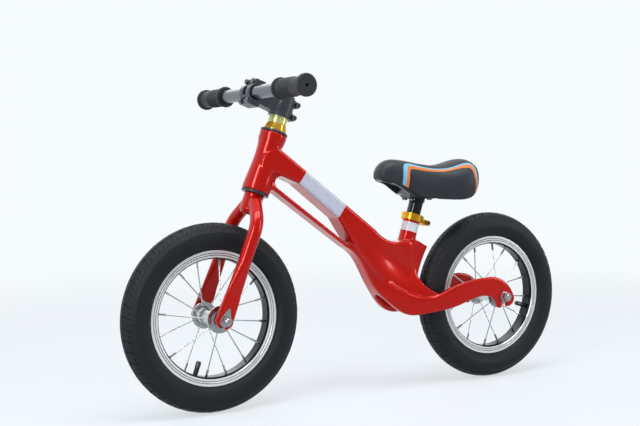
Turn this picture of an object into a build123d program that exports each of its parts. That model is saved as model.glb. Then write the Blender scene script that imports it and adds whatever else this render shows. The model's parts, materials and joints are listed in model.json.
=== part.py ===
# Balance bike with a cast frame, spoked wheels and a sliding seat post.
# Frame of reference: +X forward, +Y to the rider's left, +Z up, origin on the ground at mid wheelbase.
# All sizes are in millimetres and degrees.
import os
from math import cos, hypot, radians, sin, sqrt

from build123d import *

os.makedirs("parts", exist_ok=True)

# Overall sizes
wheelbase = 555.4
tyre_diameter = 303.0
tyre_width = 48.0
bar_width = 365.0

# Steering geometry: the head angle is measured from the ground
head_angle = 69.66
fork_rake = 5.6
crown_room = 62.3
head_tube_length = 100.0
head_tube_radius = 23.5
head_waist_radius = 20.0
head_low_lip = 7.0
head_high_lip = 9.0
cheek_stand = 2.2
head_bore_radius = 17.0
cup_radius = 20.5
cup_inner_radius = 17.5
cup_depth = 10.0
ball_ring_height = 7.0

# Seat geometry: the top of the seat tube is placed from the rear axle
seat_angle = 72.0
seat_top_forward = 166.3
seat_top_up = 149.8
seat_tube_radius = 15.2
seat_tube_length = 58.0
seat_foot_flare = 5.0
seat_foot_height = 24.0
seat_post_diameter = 25.4
seat_post_length = 122.0
seat_post_wall = 2.0
post_shown = 29.0
seat_bore_depth = 112.0
slide_clearance = 0.08

# Frame casting
beam_half_width = 22.5
fin_half_width = 9.0
rail_half_width = 15.5
wheel_gap = 20.5
fender_gap = 14.0
stay_inner = 31.0
beam_round = 5.0
stay_round = 3.0
stay_half_span = 50.0
dropout_thickness = 7.0

# Hubs and axles
over_lock_nuts = 86.0
axle_radius = 5.0
axle_stick_out = 13.0
axle_slot_clearance = 0.2
washer_thickness = 1.5
nut_height = 8.0
nut_across_flats = 15.0
flange_radius = 21.5
flange_place = 30.0
flange_thickness = 2.5
barrel_radius = 12.5
cup_end = 37.0
hub_bore_radius = 7.0
hub_cup_radius = 11.5
cup_floor = 28.5
hub_ring_width = 6.0
cone_radius = 6.8
lock_nut_height = 3.5
washer_radius = 9.5
tab_height = 20.0

# Clearances: running between moving pieces, seat and press between pieces that stay together
running_clearance = 0.08
seat_gap = 0.1
press_gap = 0.05

# Rims, tyres and spokes
tyre_section_height = 50.0
rim_flange_height = 6.5
rim_bed_depth = 7.5
rim_half_width = 13.5
rim_wall = 2.4
spoke_count = 16
spoke_radius = 1.0
spoke_hole_circle = 18.0
nipple_radius = 1.9
nipple_length = 13.0
front_spoke_phase = 7.8
rear_spoke_phase = 6.0
front_valve_gap = 0
rear_valve_gap = 12
tyre_wall = 4.0
tube_gap = 0.4
tread_groove_side = 6.0
tread_groove_width = 3.0
tread_groove_depth = 1.5
rim_well_half = 8.0
rim_hole_side = 2.5
nipple_head = 1.2
nipple_lift = 1.0
tape_thickness = 0.8
valve_radius = 4.0
valve_length = 29.0
valve_cap_length = 10.0

# Fork
steerer_radius = 14.3
steerer_wall = 1.8
crown_radius = 16.5
crown_drop = 30.0
steerer_tail = 38.0
blade_radius = 11.0
blade_flat_width = 30.5
blade_neck_width = 26.0
fork_plate_thickness = 7.0
blade_flat_top = 44.0
blade_taper = 52.0
plate_corner_round = 4.0
blade_tip_drop = 13.0
crown_splay = 41.0
blade_start = 6.0
blade_start_drop = 12.0
blade_bend_radius = 45.0

# Headset, spacer, stem and bar
cover_height = 3.6
cover_gap = 0.4
spacer_height = 24.6
spacer_foot_radius = 19.2
spacer_top_radius = 16.0
stem_height = 34.0
stem_reach = 59.0
bar_rise = 19.2
stem_clamp_radius = 19.0
stem_bar_radius = 14.5
stem_bar_width = 36.0
stem_slit = 2.0
bolt_radius = 2.5
bar_diameter = 22.2
bar_wall = 2.0
grip_length = 84.0
grip_radius = 14.2
grip_flange_radius = 17.5
grip_flange_width = 5.0
grip_rib_count = 9
grip_rib_pitch = 4.6
grip_rib_height = 1.2
grip_vent_radius = 2.5

# Seat clamp
clamp_radius = 19.2
clamp_height = 12.5
clamp_lip = 3.0
clamp_slit = 2.4
ear_half_width = 10.0
seat_slit_depth = 26.0

# Saddle, measured along the bike from the seat post
collar_height = 5.0
collar_wall = 1.6
saddle_plate_length = 48.0
saddle_plate_width = 34.0
saddle_plate_thickness = 3.0
screw_spacing_x = 36.0
screw_spacing_y = 24.0
screw_radius = 2.5
saddle_length = 199.0
saddle_nose_forward = 86.3
saddle_half_width = 52.5
saddle_height = 66.3
base_thickness = 4.0
base_rim = 2.4
base_skin = 2.6
pan_gap = 0.2
recess_depth = 14.0

# Derived places
axle_height = tyre_diameter / 2
tyre_radius = tyre_diameter / 2
bead_seat_radius = tyre_radius - tyre_section_height
rim_outer_radius = bead_seat_radius + rim_flange_height
rim_bed_radius = bead_seat_radius - rim_bed_depth
front_axle_x = wheelbase / 2
rear_axle_x = -wheelbase / 2
fork_length = tyre_radius + crown_room
dropout_inner = over_lock_nuts / 2
up_x = -cos(radians(head_angle))
up_z = sin(radians(head_angle))
head_foot_x = front_axle_x - fork_rake * up_z + fork_length * up_x
head_foot_z = axle_height + fork_rake * up_x + fork_length * up_z
seat_up_x = -cos(radians(seat_angle))
seat_up_z = sin(radians(seat_angle))
seat_top_x = rear_axle_x + seat_top_forward
seat_top_z = axle_height + seat_top_up
seat_post_radius = seat_post_diameter / 2
bar_radius = bar_diameter / 2

# The steering axis runs up the head tube from the head tube's lower end
head_foot = (head_foot_x, 0, head_foot_z)
head_up = (up_x, 0, up_z)
head_forward = (up_z, 0, -up_x)
steer_axis = Axis(head_foot, head_up)
steer_side = Plane(origin=head_foot, x_dir=head_forward, z_dir=(0, -1, 0))
steer_across = Plane(origin=head_foot, x_dir=(0, 1, 0), z_dir=head_forward)

# The seat axis runs up the seat tube from the seat tube's upper end
seat_top = (seat_top_x, 0, seat_top_z)
seat_up = (seat_up_x, 0, seat_up_z)
seat_forward = (seat_up_z, 0, -seat_up_x)
seat_axis = Axis(seat_top, seat_up)
seat_side = Plane(origin=seat_top, x_dir=seat_forward, z_dir=(0, -1, 0))


def steer_point(forward, along):
    """Side view place of a point given from the steering axis."""
    x = head_foot_x + forward * up_z + along * up_x
    z = head_foot_z - forward * up_x + along * up_z
    return (x, z)


def rear_point(forward, up):
    """Side view place of a point given from the rear axle."""
    return (rear_axle_x + forward, axle_height + up)


def steer_level(along, forward=0.0):
    """Plane square to the steering axis."""
    x, z = steer_point(forward, along)
    return Plane(origin=(x, 0, z), x_dir=head_forward, z_dir=head_up)


def seat_level(along, forward=0.0):
    """Plane square to the seat axis."""
    x = seat_top_x + along * seat_up_x + forward * seat_up_z
    z = seat_top_z + along * seat_up_z - forward * seat_up_x
    return Plane(origin=(x, 0, z), x_dir=seat_forward, z_dir=seat_up)


def wheel_section(axle_x):
    """Section plane through an axle: local x runs along the axle, local y is the radius."""
    return Plane(origin=(axle_x, 0, axle_height), x_dir=(0, 1, 0), z_dir=(1, 0, 0))


def axle_line(axle_x):
    """Axis of a wheel."""
    return Axis((axle_x, 0, axle_height), (0, 1, 0))


def across_plane(x, y, z):
    """Plane square to the axles, with local x forward and local y down."""
    return Plane(origin=(x, y, z), x_dir=(1, 0, 0), z_dir=(0, 1, 0))


def write(builder, name):
    """Label a finished piece and write its file."""
    builder.part.label = name
    export_step(builder.part, f"parts/{name}.step")


# Frame casting: the upper rail and the seat mast
with BuildPart() as upper_rail:
    fin_x, fin_z = rear_point(140.2, 95.3)
    arc_radius = tyre_radius + wheel_gap
    arc_low_up = 18.0
    arc_mid_up = 56.0
    arc_low = rear_point(sqrt(arc_radius**2 - arc_low_up**2), arc_low_up)
    arc_mid = rear_point(sqrt(arc_radius**2 - arc_mid_up**2), arc_mid_up)
    with BuildSketch(Plane.XZ) as rail_outline:
        with BuildLine():
            top_front = steer_point(0, 80)
            top_blend = steer_point(-24, 73.5)
            top_rear = rear_point(256.0, 129.5)
            valley = rear_point(213.0, 106.5)
            shoulder = rear_point(164.0, 107.0)
            Line(top_front, top_blend)
            Line(top_blend, top_rear)
            Spline(top_rear, rear_point(229.0, 110.5), valley, rear_point(195.0, 107.0), shoulder)
            Line(shoulder, (fin_x, fin_z))
            ThreePointArc((fin_x, fin_z), arc_mid, arc_low)
            rail_low = rear_point(329.8, 151.1)
            Spline(
                arc_low,
                rear_point(217.7, 19.0),
                rear_point(244.7, 42.0),
                rear_point(266.7, 65.5),
                rear_point(289.3, 92.0),
                rear_point(309.0, 119.5),
                rail_low,
            )
            low_blend = steer_point(-62, 35.6)
            low_front = steer_point(0, 38)
            Line(rail_low, low_blend)
            Line(low_blend, low_front)
            Line(low_front, top_front)
        make_face()
    extrude(amount=2 * beam_half_width, both=True)
    with BuildSketch(Plane.XY) as rail_plan:
        with BuildLine():
            crease_x = seat_top_x + 20.0
            tail_x = rear_axle_x + 130.0
            Polyline(
                (head_foot_x, beam_half_width),
                (crease_x, beam_half_width),
                (tail_x, fin_half_width),
                (tail_x, -fin_half_width),
                (crease_x, -beam_half_width),
                (head_foot_x, -beam_half_width),
                close=True,
            )
        make_face()
    extrude(amount=head_foot_z + head_tube_length, mode=Mode.INTERSECT)
    rail_edges = upper_rail.edges().filter_by(Axis.Y, reverse=True).filter_by(Axis.Z, reverse=True)
    fillet(rail_edges, radius=beam_round)

# Frame casting: the lower rail runs from the head tube round the belly and splits into the two stays
with BuildPart() as lower_rail:
    with BuildSketch(Plane.XZ) as stay_outline:
        with BuildLine():
            rail_top_front = steer_point(0, 27)
            rail_top = steer_point(-22.3, 19.6)
            rail_top_rear = rear_point(314.6, 111.0)
            hook_top = rear_point(33.7, 37.5)
            hook_back = rear_point(-25.0, -4.8)
            hook_tip = rear_point(-7.0, -19.0)
            front_tip = rear_point(10.0, -21.0)
            front_tip_end = rear_point(15.5, -18.5)
            rail_bottom_rear = rear_point(310.6, 100.5)
            Line(rail_top_front, rail_top)
            Line(rail_top, rail_top_rear)
            Spline(
                rail_top_rear,
                rear_point(289.3, 97.0),
                rear_point(266.7, 71.0),
                rear_point(244.7, 47.0),
                rear_point(217.7, 27.8),
                rear_point(185.7, 14.0),
                rear_point(152.7, 8.5),
                rear_point(112.7, 24.0),
                rear_point(72.0, 34.0),
                hook_top,
            )
            ThreePointArc(hook_top, rear_point(-9.0, 22.5), hook_back)
            ThreePointArc(hook_back, rear_point(-18.5, -15.8), hook_tip)
            Line(hook_tip, front_tip)
            Line(front_tip, front_tip_end)
            Spline(
                front_tip_end,
                rear_point(25.8, -1.5),
                rear_point(39.6, 3.0),
                rear_point(58.9, 2.0),
                rear_point(104.7, -10.7),
                rear_point(165.3, -20.5),
                rear_point(198.0, -20.5),
                rear_point(232.1, 1.5),
                rear_point(262.9, 39.0),
                rear_point(285.4, 79.0),
                rail_bottom_rear,
            )
            rail_bottom = steer_point(-24.2, 10.9)
            Line(rail_bottom_rear, rail_bottom)
            rail_bottom_front = steer_point(0, 5)
            Line(rail_bottom, rail_bottom_front)
            Line(rail_bottom_front, rail_top_front)
        make_face()
    extrude(amount=2 * stay_half_span, both=True)
    with BuildSketch(Plane.XY) as stay_plan:
        for side in (1, -1):
            with BuildLine():
                split = (rear_axle_x + 240.7, 0)
                belly = (rear_axle_x + 265.0, side * rail_half_width)
                outer_rear = (rear_axle_x + 85.0, side * stay_half_span)
                inner_rear = (rear_axle_x + 85.0, side * (stay_half_span - dropout_thickness))
                tail = rear_axle_x - 40.0
                Line((head_foot_x, 0), (head_foot_x, side * rail_half_width))
                Line((head_foot_x, side * rail_half_width), belly)
                Spline(
                    belly,
                    (rear_axle_x + 231.7, side * 27.0),
                    (rear_axle_x + 165.7, side * 40.0),
                    outer_rear,
                    tangents=((-1, 0), (-1, 0)),
                )
                Line(outer_rear, (tail, side * stay_half_span))
                Line((tail, side * stay_half_span), (tail, side * dropout_inner))
                Line((tail, side * dropout_inner), inner_rear)
                Spline(
                    inner_rear,
                    (rear_axle_x + 135.0, side * stay_inner),
                    (rear_axle_x + 190.0, side * 21.0),
                    split,
                    tangents=((1, 0), (0, -side)),
                )
                Line(split, (head_foot_x, 0))
            make_face()
    extrude(amount=head_foot_z + head_tube_length, mode=Mode.INTERSECT)
    stay_edges = lower_rail.edges().filter_by(Axis.Y, reverse=True).filter_by(Axis.Z, reverse=True)
    fillet(stay_edges, radius=stay_round)

# Frame casting: the foot of the mast flares into the two stays
with BuildPart() as mast_foot:
    for level, front, rear, half_front, half_rear in (
        (78.0, 240.0, 171.0, 20.0, 18.5),
        (54.0, 235.0, 172.0, 21.0, 20.0),
        (37.0, 225.0, 166.0, 22.0, 27.0),
        (21.0, 212.0, 152.0, 24.0, 36.0),
        (9.0, 200.0, 126.0, 27.0, 42.0),
    ):
        with BuildSketch(Plane.XY.offset(axle_height + level)):
            with BuildLine():
                front_x = rear_axle_x + front
                rear_x = rear_axle_x + rear
                Polyline(
                    (front_x, half_front),
                    (rear_x, half_rear),
                    (rear_x, -half_rear),
                    (front_x, -half_front),
                    close=True,
                )
            make_face()
    loft()

# Head tube: flared at both ends, waisted between them
with BuildPart() as head_tube:
    with BuildSketch(steer_side):
        with BuildLine():
            low_rim = (head_tube_radius, 0)
            low_lip = (head_tube_radius, head_low_lip)
            waist = (head_waist_radius, 0.62 * head_tube_length)
            high_lip = (head_tube_radius - 0.5, head_tube_length - head_high_lip)
            high_rim = (head_tube_radius - 0.5, head_tube_length)
            Line((0, 0), low_rim)
            Line(low_rim, low_lip)
            Spline(low_lip, (head_waist_radius + 2.0, 0.3 * head_tube_length), waist, high_lip)
            Line(high_lip, high_rim)
            Line(high_rim, (0, head_tube_length))
            Line((0, head_tube_length), (0, 0))
        make_face()
    revolve(axis=steer_axis)

# Cheeks where the upper rail wraps round the sides of the head tube
with BuildPart() as cheeks:
    with BuildSketch(steer_side):
        with BuildLine():
            Spline(
                (-18, 74),
                (3, 69),
                (12.5, 58),
                (13, 46),
                (6, 34),
                (-18, 20),
            )
            Line((-18, 20), (-18, 74))
        make_face()
    extrude(amount=beam_half_width, both=True)
    with BuildSketch(steer_level(0)):
        Circle(head_waist_radius + cheek_stand)
    extrude(amount=head_tube_length, mode=Mode.INTERSECT)

# Web that rounds the front end of the opening between the two rails
with BuildPart() as front_web:
    with BuildSketch(steer_side):
        with BuildLine():
            web_back = -33.0
            web_front = -15.0
            web_low = 13.0
            web_high = 41.0
            web_middle = (-22.6, 27.0)
            web_upper = (web_back, 37.3)
            web_lower = (web_back, 16.2)
            ThreePointArc(web_upper, (-25.6, 34.2), web_middle)
            ThreePointArc(web_middle, (-25.6, 19.6), web_lower)
            Polyline(
                web_lower,
                (web_back, web_low),
                (web_front, web_low),
                (web_front, web_high),
                (web_back, web_high),
                web_upper,
            )
        make_face()
    extrude(amount=rail_half_width - 1.0, both=True)

# Seat tube with a flared foot
with BuildPart() as seat_tube:
    with BuildSketch(seat_side):
        with BuildLine():
            foot_radius = seat_tube_radius + seat_foot_flare
            flare_start = (seat_tube_radius, seat_foot_height - seat_tube_length)
            Line((0, 0), (seat_tube_radius, 0))
            Line((seat_tube_radius, 0), flare_start)
            Spline(flare_start, (foot_radius, -seat_tube_length), tangents=((0, -1), (1, -1)))
            Line((foot_radius, -seat_tube_length), (0, -seat_tube_length))
            Line((0, -seat_tube_length), (0, 0))
        make_face()
    revolve(axis=seat_axis)

with BuildPart() as frame:
    add(upper_rail)
    add(lower_rail)
    add(mast_foot)
    with BuildSketch(wheel_section(rear_axle_x)):
        with Locations((0, (tyre_radius + fender_gap) / 2)):
            Rectangle(2 * stay_inner, tyre_radius + fender_gap)
    revolve(axis=axle_line(rear_axle_x), mode=Mode.SUBTRACT)
    add(head_tube)
    add(cheeks)
    add(front_web)
    add(seat_tube)
    with BuildSketch(steer_level(0)):
        Circle(head_bore_radius)
    extrude(amount=head_tube_length, mode=Mode.SUBTRACT)
    with BuildSketch(steer_level(0)):
        Circle(cup_radius)
    extrude(amount=cup_depth, mode=Mode.SUBTRACT)
    with BuildSketch(steer_level(head_tube_length)):
        Circle(cup_radius)
    extrude(amount=-cup_depth, mode=Mode.SUBTRACT)
    with BuildSketch(seat_level(0)):
        Circle(seat_post_radius + slide_clearance)
    extrude(amount=-seat_bore_depth, mode=Mode.SUBTRACT)
    slot_width = 2 * (axle_radius + axle_slot_clearance)
    with BuildSketch(Plane.XZ):
        with Locations((rear_axle_x, axle_height)):
            Circle(slot_width / 2)
        with Locations((rear_axle_x, axle_height - tyre_radius / 4)):
            Rectangle(slot_width, tyre_radius / 2)
    extrude(amount=2 * stay_half_span, both=True, mode=Mode.SUBTRACT)
    with BuildSketch(seat_level(0, -seat_tube_radius)):
        Rectangle(seat_tube_radius, clamp_slit)
    extrude(amount=-seat_slit_depth, mode=Mode.SUBTRACT)
write(frame, "frame")


# Headset: cups pressed into the head tube, ball rings on the steerer, covers that turn with the fork
cover_foot = head_tube_length + cover_gap
spacer_foot = cover_foot + cover_height
stem_foot = spacer_foot + spacer_height
stem_top = stem_foot + stem_height
steerer_top = stem_top - 3.0
crown_top = -(cover_gap + cover_height)
ring_inner = steerer_radius + seat_gap
ring_outer = cup_inner_radius - running_clearance
lip_outer = cup_inner_radius - 0.5


def steer_ring(inner, outer, low, high):
    """Plain ring about the steering axis, as a sketch on the side plane."""
    with Locations(((inner + outer) / 2, (low + high) / 2)):
        Rectangle(outer - inner, high - low)


for name, low in (("headset_lower_cup", 0.0), ("headset_upper_cup", head_tube_length - cup_depth)):
    with BuildPart() as cup:
        with BuildSketch(steer_side):
            steer_ring(cup_inner_radius, cup_radius - press_gap, low + press_gap, low + cup_depth - press_gap)
        revolve(axis=steer_axis)
    write(cup, name)

lower_ring_low = 2.0
upper_ring_low = head_tube_length - 2.0 - ball_ring_height
for name, low in (("headset_lower_ball_ring", lower_ring_low), ("headset_upper_ball_ring", upper_ring_low)):
    with BuildPart() as ball_ring:
        with BuildSketch(steer_side):
            steer_ring(ring_inner, ring_outer, low, low + ball_ring_height)
        revolve(axis=steer_axis)
    write(ball_ring, name)

with BuildPart() as crown_race:
    with BuildSketch(steer_side):
        steer_ring(ring_inner, head_tube_radius - 0.5, crown_top, -cover_gap)
        steer_ring(ring_inner, lip_outer, -cover_gap, lower_ring_low - seat_gap)
    revolve(axis=steer_axis)
    fillet(crown_race.edges().filter_by(GeomType.CIRCLE).sort_by(SortBy.RADIUS)[-2:], radius=1.2)
write(crown_race, "crown_race")

with BuildPart() as top_cover:
    with BuildSketch(steer_side):
        steer_ring(ring_inner, head_tube_radius - 0.7, cover_foot, spacer_foot)
        steer_ring(ring_inner, lip_outer, upper_ring_low + ball_ring_height + seat_gap, cover_foot)
    revolve(axis=steer_axis)
    fillet(top_cover.edges().filter_by(GeomType.CIRCLE).sort_by(SortBy.RADIUS)[-2:], radius=1.2)
write(top_cover, "headset_top_cover")

# Conical spacer between the headset and the stem
with BuildPart() as spacer:
    with BuildSketch(steer_side):
        with BuildLine():
            spacer_mid = spacer_foot + spacer_height / 2
            Polyline(
                (ring_inner, spacer_foot),
                (spacer_foot_radius, spacer_foot),
                (spacer_foot_radius, spacer_foot + 2.0),
                (spacer_top_radius + 0.8, spacer_mid - 0.8),
                (spacer_top_radius, spacer_mid),
                (spacer_top_radius, stem_foot),
                (ring_inner, stem_foot),
                close=True,
            )
        make_face()
    revolve(axis=steer_axis)
write(spacer, "spacer")

# Fork: steerer tube, crown and two blades whose lower ends are pressed flat
blade_x = head_foot_x - front_axle_x
blade_z = head_foot_z - axle_height
blade_length = hypot(blade_x, blade_z)
blade_up = (blade_x / blade_length, 0, blade_z / blade_length)
blade_forward = (blade_z / blade_length, 0, -blade_x / blade_length)
blade_across = Plane(origin=head_foot, x_dir=(0, 1, 0), z_dir=blade_forward)
plate_middle = dropout_inner + fork_plate_thickness / 2


def blade_level(up_from_axle, y):
    """Plane square to a blade, at a height above the axle."""
    x = front_axle_x + up_from_axle * blade_up[0]
    z = axle_height + up_from_axle * blade_up[2]
    return Plane(origin=(x, y, z), x_dir=blade_forward, z_dir=blade_up)


def blade_side(y):
    """Plane of a blade's side, with local y up the blade from the axle."""
    return Plane(origin=(front_axle_x, y, axle_height), x_dir=blade_forward, z_dir=(0, -1, 0))


flat_top = blade_flat_top
tube_end = blade_flat_top + blade_taper
with BuildPart() as fork:
    with BuildSketch(steer_level(-steerer_tail)):
        Circle(steerer_radius)
    extrude(amount=steerer_tail + steerer_top)
    with BuildSketch(steer_level(crown_top - crown_drop)):
        Circle(crown_radius)
    extrude(amount=crown_drop)
    for side in (1, -1):
        with BuildLine(blade_across) as blade_path:
            FilletPolyline(
                (side * blade_start, -blade_start_drop),
                (side * plate_middle, -blade_start_drop - crown_splay),
                (side * plate_middle, tube_end - blade_length),
                radius=blade_bend_radius,
            )
        with BuildSketch(Plane(origin=blade_path.line @ 0, z_dir=blade_path.line % 0)):
            Circle(blade_radius)
        sweep(path=blade_path.line)
        with BuildSketch(blade_level(tube_end, side * plate_middle)) as round_end:
            RectangleRounded(2 * blade_radius - 0.5, 2 * blade_radius - 0.5, blade_radius - 0.3)
        with BuildSketch(blade_level(flat_top, side * plate_middle)) as flat_end:
            RectangleRounded(blade_neck_width, fork_plate_thickness, 0.45 * fork_plate_thickness)
        loft(sections=[round_end.sketch, flat_end.sketch])
        with BuildSketch(blade_side(side * plate_middle)) as plate:
            with BuildLine():
                half_neck = blade_neck_width / 2
                half_flat = blade_flat_width / 2
                corner = 0.55 * half_flat
                Polyline(
                    (half_neck, flat_top),
                    (half_flat, corner - blade_tip_drop),
                    (half_flat - corner, -blade_tip_drop),
                    (corner - half_flat, -blade_tip_drop),
                    (-half_flat, corner - blade_tip_drop),
                    (-half_neck, flat_top),
                    close=True,
                )
            make_face()
            fillet(plate.vertices().group_by(Axis.Z)[0:2], radius=plate_corner_round)
        extrude(amount=fork_plate_thickness / 2, both=True)
    fork_slot = 2 * (axle_radius + axle_slot_clearance)
    with BuildSketch(blade_side(0)):
        Circle(fork_slot / 2)
        with Locations((0, -blade_tip_drop)):
            Rectangle(fork_slot, 2 * blade_tip_drop)
    extrude(amount=2 * plate_middle, both=True, mode=Mode.SUBTRACT)
    with BuildSketch(steer_level(-steerer_tail)):
        Circle(steerer_radius - steerer_wall)
    extrude(amount=steerer_tail + steerer_top, mode=Mode.SUBTRACT)
write(fork, "fork")

# Stem: clamps the steerer at its back and the handlebar at its front
bar_level = stem_foot + bar_rise
bar_x, bar_z = steer_point(stem_reach, bar_level)
bar_axis = Axis((bar_x, 0, bar_z), (0, 1, 0))
clamp_bolt_back = steerer_radius + 6.0
clamp_bolt_levels = (stem_foot + 6.0, stem_top - 6.0)
plate_bolt_side = stem_bar_width / 2 - 5.5
plate_bolt_up = stem_bar_radius + 2.5
plate_split = 0.4
boss_half = 11.0
lug_half_height = plate_bolt_up + 4.5
lug_depth = 11.0
with BuildPart() as stem:
    with BuildSketch(steer_level(stem_foot)):
        Circle(stem_clamp_radius)
    extrude(amount=stem_height)
    with BuildSketch(steer_side):
        with BuildLine():
            Polyline(
                (0, stem_foot + 3),
                (stem_reach - 4, bar_level - stem_bar_radius + 1),
                (stem_reach - 4, bar_level + stem_bar_radius - 1),
                (0, stem_top - 3),
                close=True,
            )
        make_face()
    extrude(amount=stem_bar_width / 2 - 6, both=True)
    with BuildSketch(steer_side):
        with Locations((-clamp_bolt_back / 2, stem_foot + stem_height / 2)):
            Rectangle(clamp_bolt_back, stem_height - 1)
        for level in clamp_bolt_levels:
            with Locations((-clamp_bolt_back, level)):
                Circle(5.5)
        with Locations((-clamp_bolt_back - 1, stem_foot + stem_height / 2)):
            Circle(0.5 * (clamp_bolt_levels[1] - clamp_bolt_levels[0]) - 5.0, mode=Mode.SUBTRACT)
    extrude(amount=boss_half, both=True)
    with BuildSketch(steer_side):
        with Locations((stem_reach, bar_level)):
            Circle(stem_bar_radius)
        with Locations((stem_reach - lug_depth / 2, bar_level)):
            Rectangle(lug_depth, 2 * lug_half_height)
    extrude(amount=stem_bar_width / 2, both=True)
    with BuildSketch(steer_side):
        with Locations((stem_reach + stem_bar_radius - plate_split, bar_level)):
            Rectangle(2 * stem_bar_radius, 4 * stem_bar_radius)
    extrude(amount=stem_bar_width, both=True, mode=Mode.SUBTRACT)
    with BuildSketch(steer_side):
        with Locations((stem_reach, bar_level)):
            Circle(bar_radius + press_gap)
    extrude(amount=stem_bar_width, both=True, mode=Mode.SUBTRACT)
    with BuildSketch(steer_level(stem_foot)):
        Circle(steerer_radius + press_gap)
        with Locations((-stem_clamp_radius, 0)):
            Rectangle(2 * stem_clamp_radius, stem_slit)
    extrude(amount=stem_height, mode=Mode.SUBTRACT)
    with BuildSketch(steer_side):
        for level in clamp_bolt_levels:
            with Locations((-clamp_bolt_back, level)):
                Circle(bolt_radius + seat_gap)
    extrude(amount=stem_bar_width, both=True, mode=Mode.SUBTRACT)
    with BuildSketch(Plane(origin=(bar_x, 0, bar_z), x_dir=(0, 1, 0), z_dir=head_forward)):
        with GridLocations(2 * plate_bolt_side, 2 * plate_bolt_up, 2, 2):
            Circle(bolt_radius + seat_gap)
    extrude(amount=-2 * lug_depth, mode=Mode.SUBTRACT)
write(stem, "stem")

face_depth = 7.5
with BuildPart() as faceplate:
    with BuildSketch(steer_side):
        with Locations((stem_reach, bar_level)):
            Circle(stem_bar_radius)
        with Locations((stem_reach + face_depth / 2, bar_level)):
            Rectangle(face_depth, 2 * lug_half_height)
        with Locations((stem_reach - stem_bar_radius + plate_split, bar_level)):
            Rectangle(2 * stem_bar_radius, 4 * stem_bar_radius, mode=Mode.SUBTRACT)
        with Locations((stem_reach, bar_level)):
            Circle(bar_radius + press_gap, mode=Mode.SUBTRACT)
    extrude(amount=stem_bar_width / 2, both=True)
    face_front = Plane(origin=(bar_x, 0, bar_z), x_dir=(0, 1, 0), z_dir=head_forward)
    with BuildSketch(face_front):
        with GridLocations(2 * plate_bolt_side, 2 * plate_bolt_up, 2, 2):
            Circle(bolt_radius + seat_gap)
    extrude(amount=stem_bar_radius, mode=Mode.SUBTRACT)
    with BuildSketch(face_front):
        Rectangle(stem_bar_width / 3, stem_bar_radius)
    extrude(amount=2 * stem_bar_radius, mode=Mode.SUBTRACT)
write(faceplate, "stem_faceplate")

bolt_head_radius = 1.7 * bolt_radius
bolt_head_height = 1.6 * bolt_radius
socket_radius = 0.85 * bolt_radius
with BuildPart() as faceplate_bolts:
    with BuildSketch(face_front.offset(face_depth)):
        with GridLocations(2 * plate_bolt_side, 2 * plate_bolt_up, 2, 2):
            Circle(bolt_head_radius)
    extrude(amount=bolt_head_height)
    with BuildSketch(face_front.offset(face_depth)):
        with GridLocations(2 * plate_bolt_side, 2 * plate_bolt_up, 2, 2):
            Circle(bolt_radius)
    extrude(amount=-face_depth - lug_depth + 1)
    with BuildSketch(face_front.offset(face_depth + bolt_head_height)):
        with GridLocations(2 * plate_bolt_side, 2 * plate_bolt_up, 2, 2):
            RegularPolygon(socket_radius, 6)
    extrude(amount=-0.6 * bolt_head_height, mode=Mode.SUBTRACT)
write(faceplate_bolts, "stem_faceplate_bolts")

with BuildPart() as clamp_bolts:
    for level in clamp_bolt_levels:
        x, z = steer_point(-clamp_bolt_back, level)
        with BuildSketch(across_plane(x, -boss_half, z)):
            Circle(bolt_radius)
        extrude(amount=2 * boss_half)
        with BuildSketch(across_plane(x, boss_half, z)):
            Circle(bolt_head_radius)
        extrude(amount=bolt_head_height)
        with BuildSketch(across_plane(x, boss_half + bolt_head_height, z)):
            RegularPolygon(socket_radius, 6)
        extrude(amount=-0.6 * bolt_head_height, mode=Mode.SUBTRACT)
write(clamp_bolts, "stem_clamp_bolts")

cap_height = 4.0
cap_bolt_radius = 3.0
star_nut_level = steerer_top - 14.0
with BuildPart() as top_cap:
    with BuildSketch(steer_side):
        steer_ring(cap_bolt_radius + seat_gap, steerer_radius + 2.2, stem_top, stem_top + cap_height)
    revolve(axis=steer_axis)
    fillet(top_cap.faces().sort_by(steer_axis)[-1].edges().sort_by(SortBy.LENGTH)[-1:], radius=1.5)
write(top_cap, "top_cap")

with BuildPart() as cap_bolt:
    with BuildSketch(steer_level(stem_top + cap_height)):
        Circle(1.7 * cap_bolt_radius)
    extrude(amount=cap_bolt_radius)
    with BuildSketch(steer_level(stem_top + cap_height)):
        Circle(cap_bolt_radius)
    extrude(amount=star_nut_level - 4.0 - stem_top - cap_height)
    with BuildSketch(steer_level(stem_top + cap_height + cap_bolt_radius)):
        RegularPolygon(0.85 * cap_bolt_radius, 6)
    extrude(amount=-0.7 * cap_bolt_radius, mode=Mode.SUBTRACT)
write(cap_bolt, "top_cap_bolt")

with BuildPart() as star_nut:
    with BuildSketch(steer_level(star_nut_level)):
        Circle(steerer_radius - steerer_wall - seat_gap)
        Circle(cap_bolt_radius + seat_gap, mode=Mode.SUBTRACT)
    extrude(amount=4.0)
write(star_nut, "star_nut")

# Handlebar and grips
bar_end = bar_width / 2 - grip_flange_width - seat_gap
with BuildPart() as handlebar:
    with BuildSketch(across_plane(bar_x, -bar_end, bar_z)):
        Circle(bar_radius)
        Circle(bar_radius - bar_wall, mode=Mode.SUBTRACT)
    extrude(amount=2 * bar_end)
write(handlebar, "handlebar")

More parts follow.
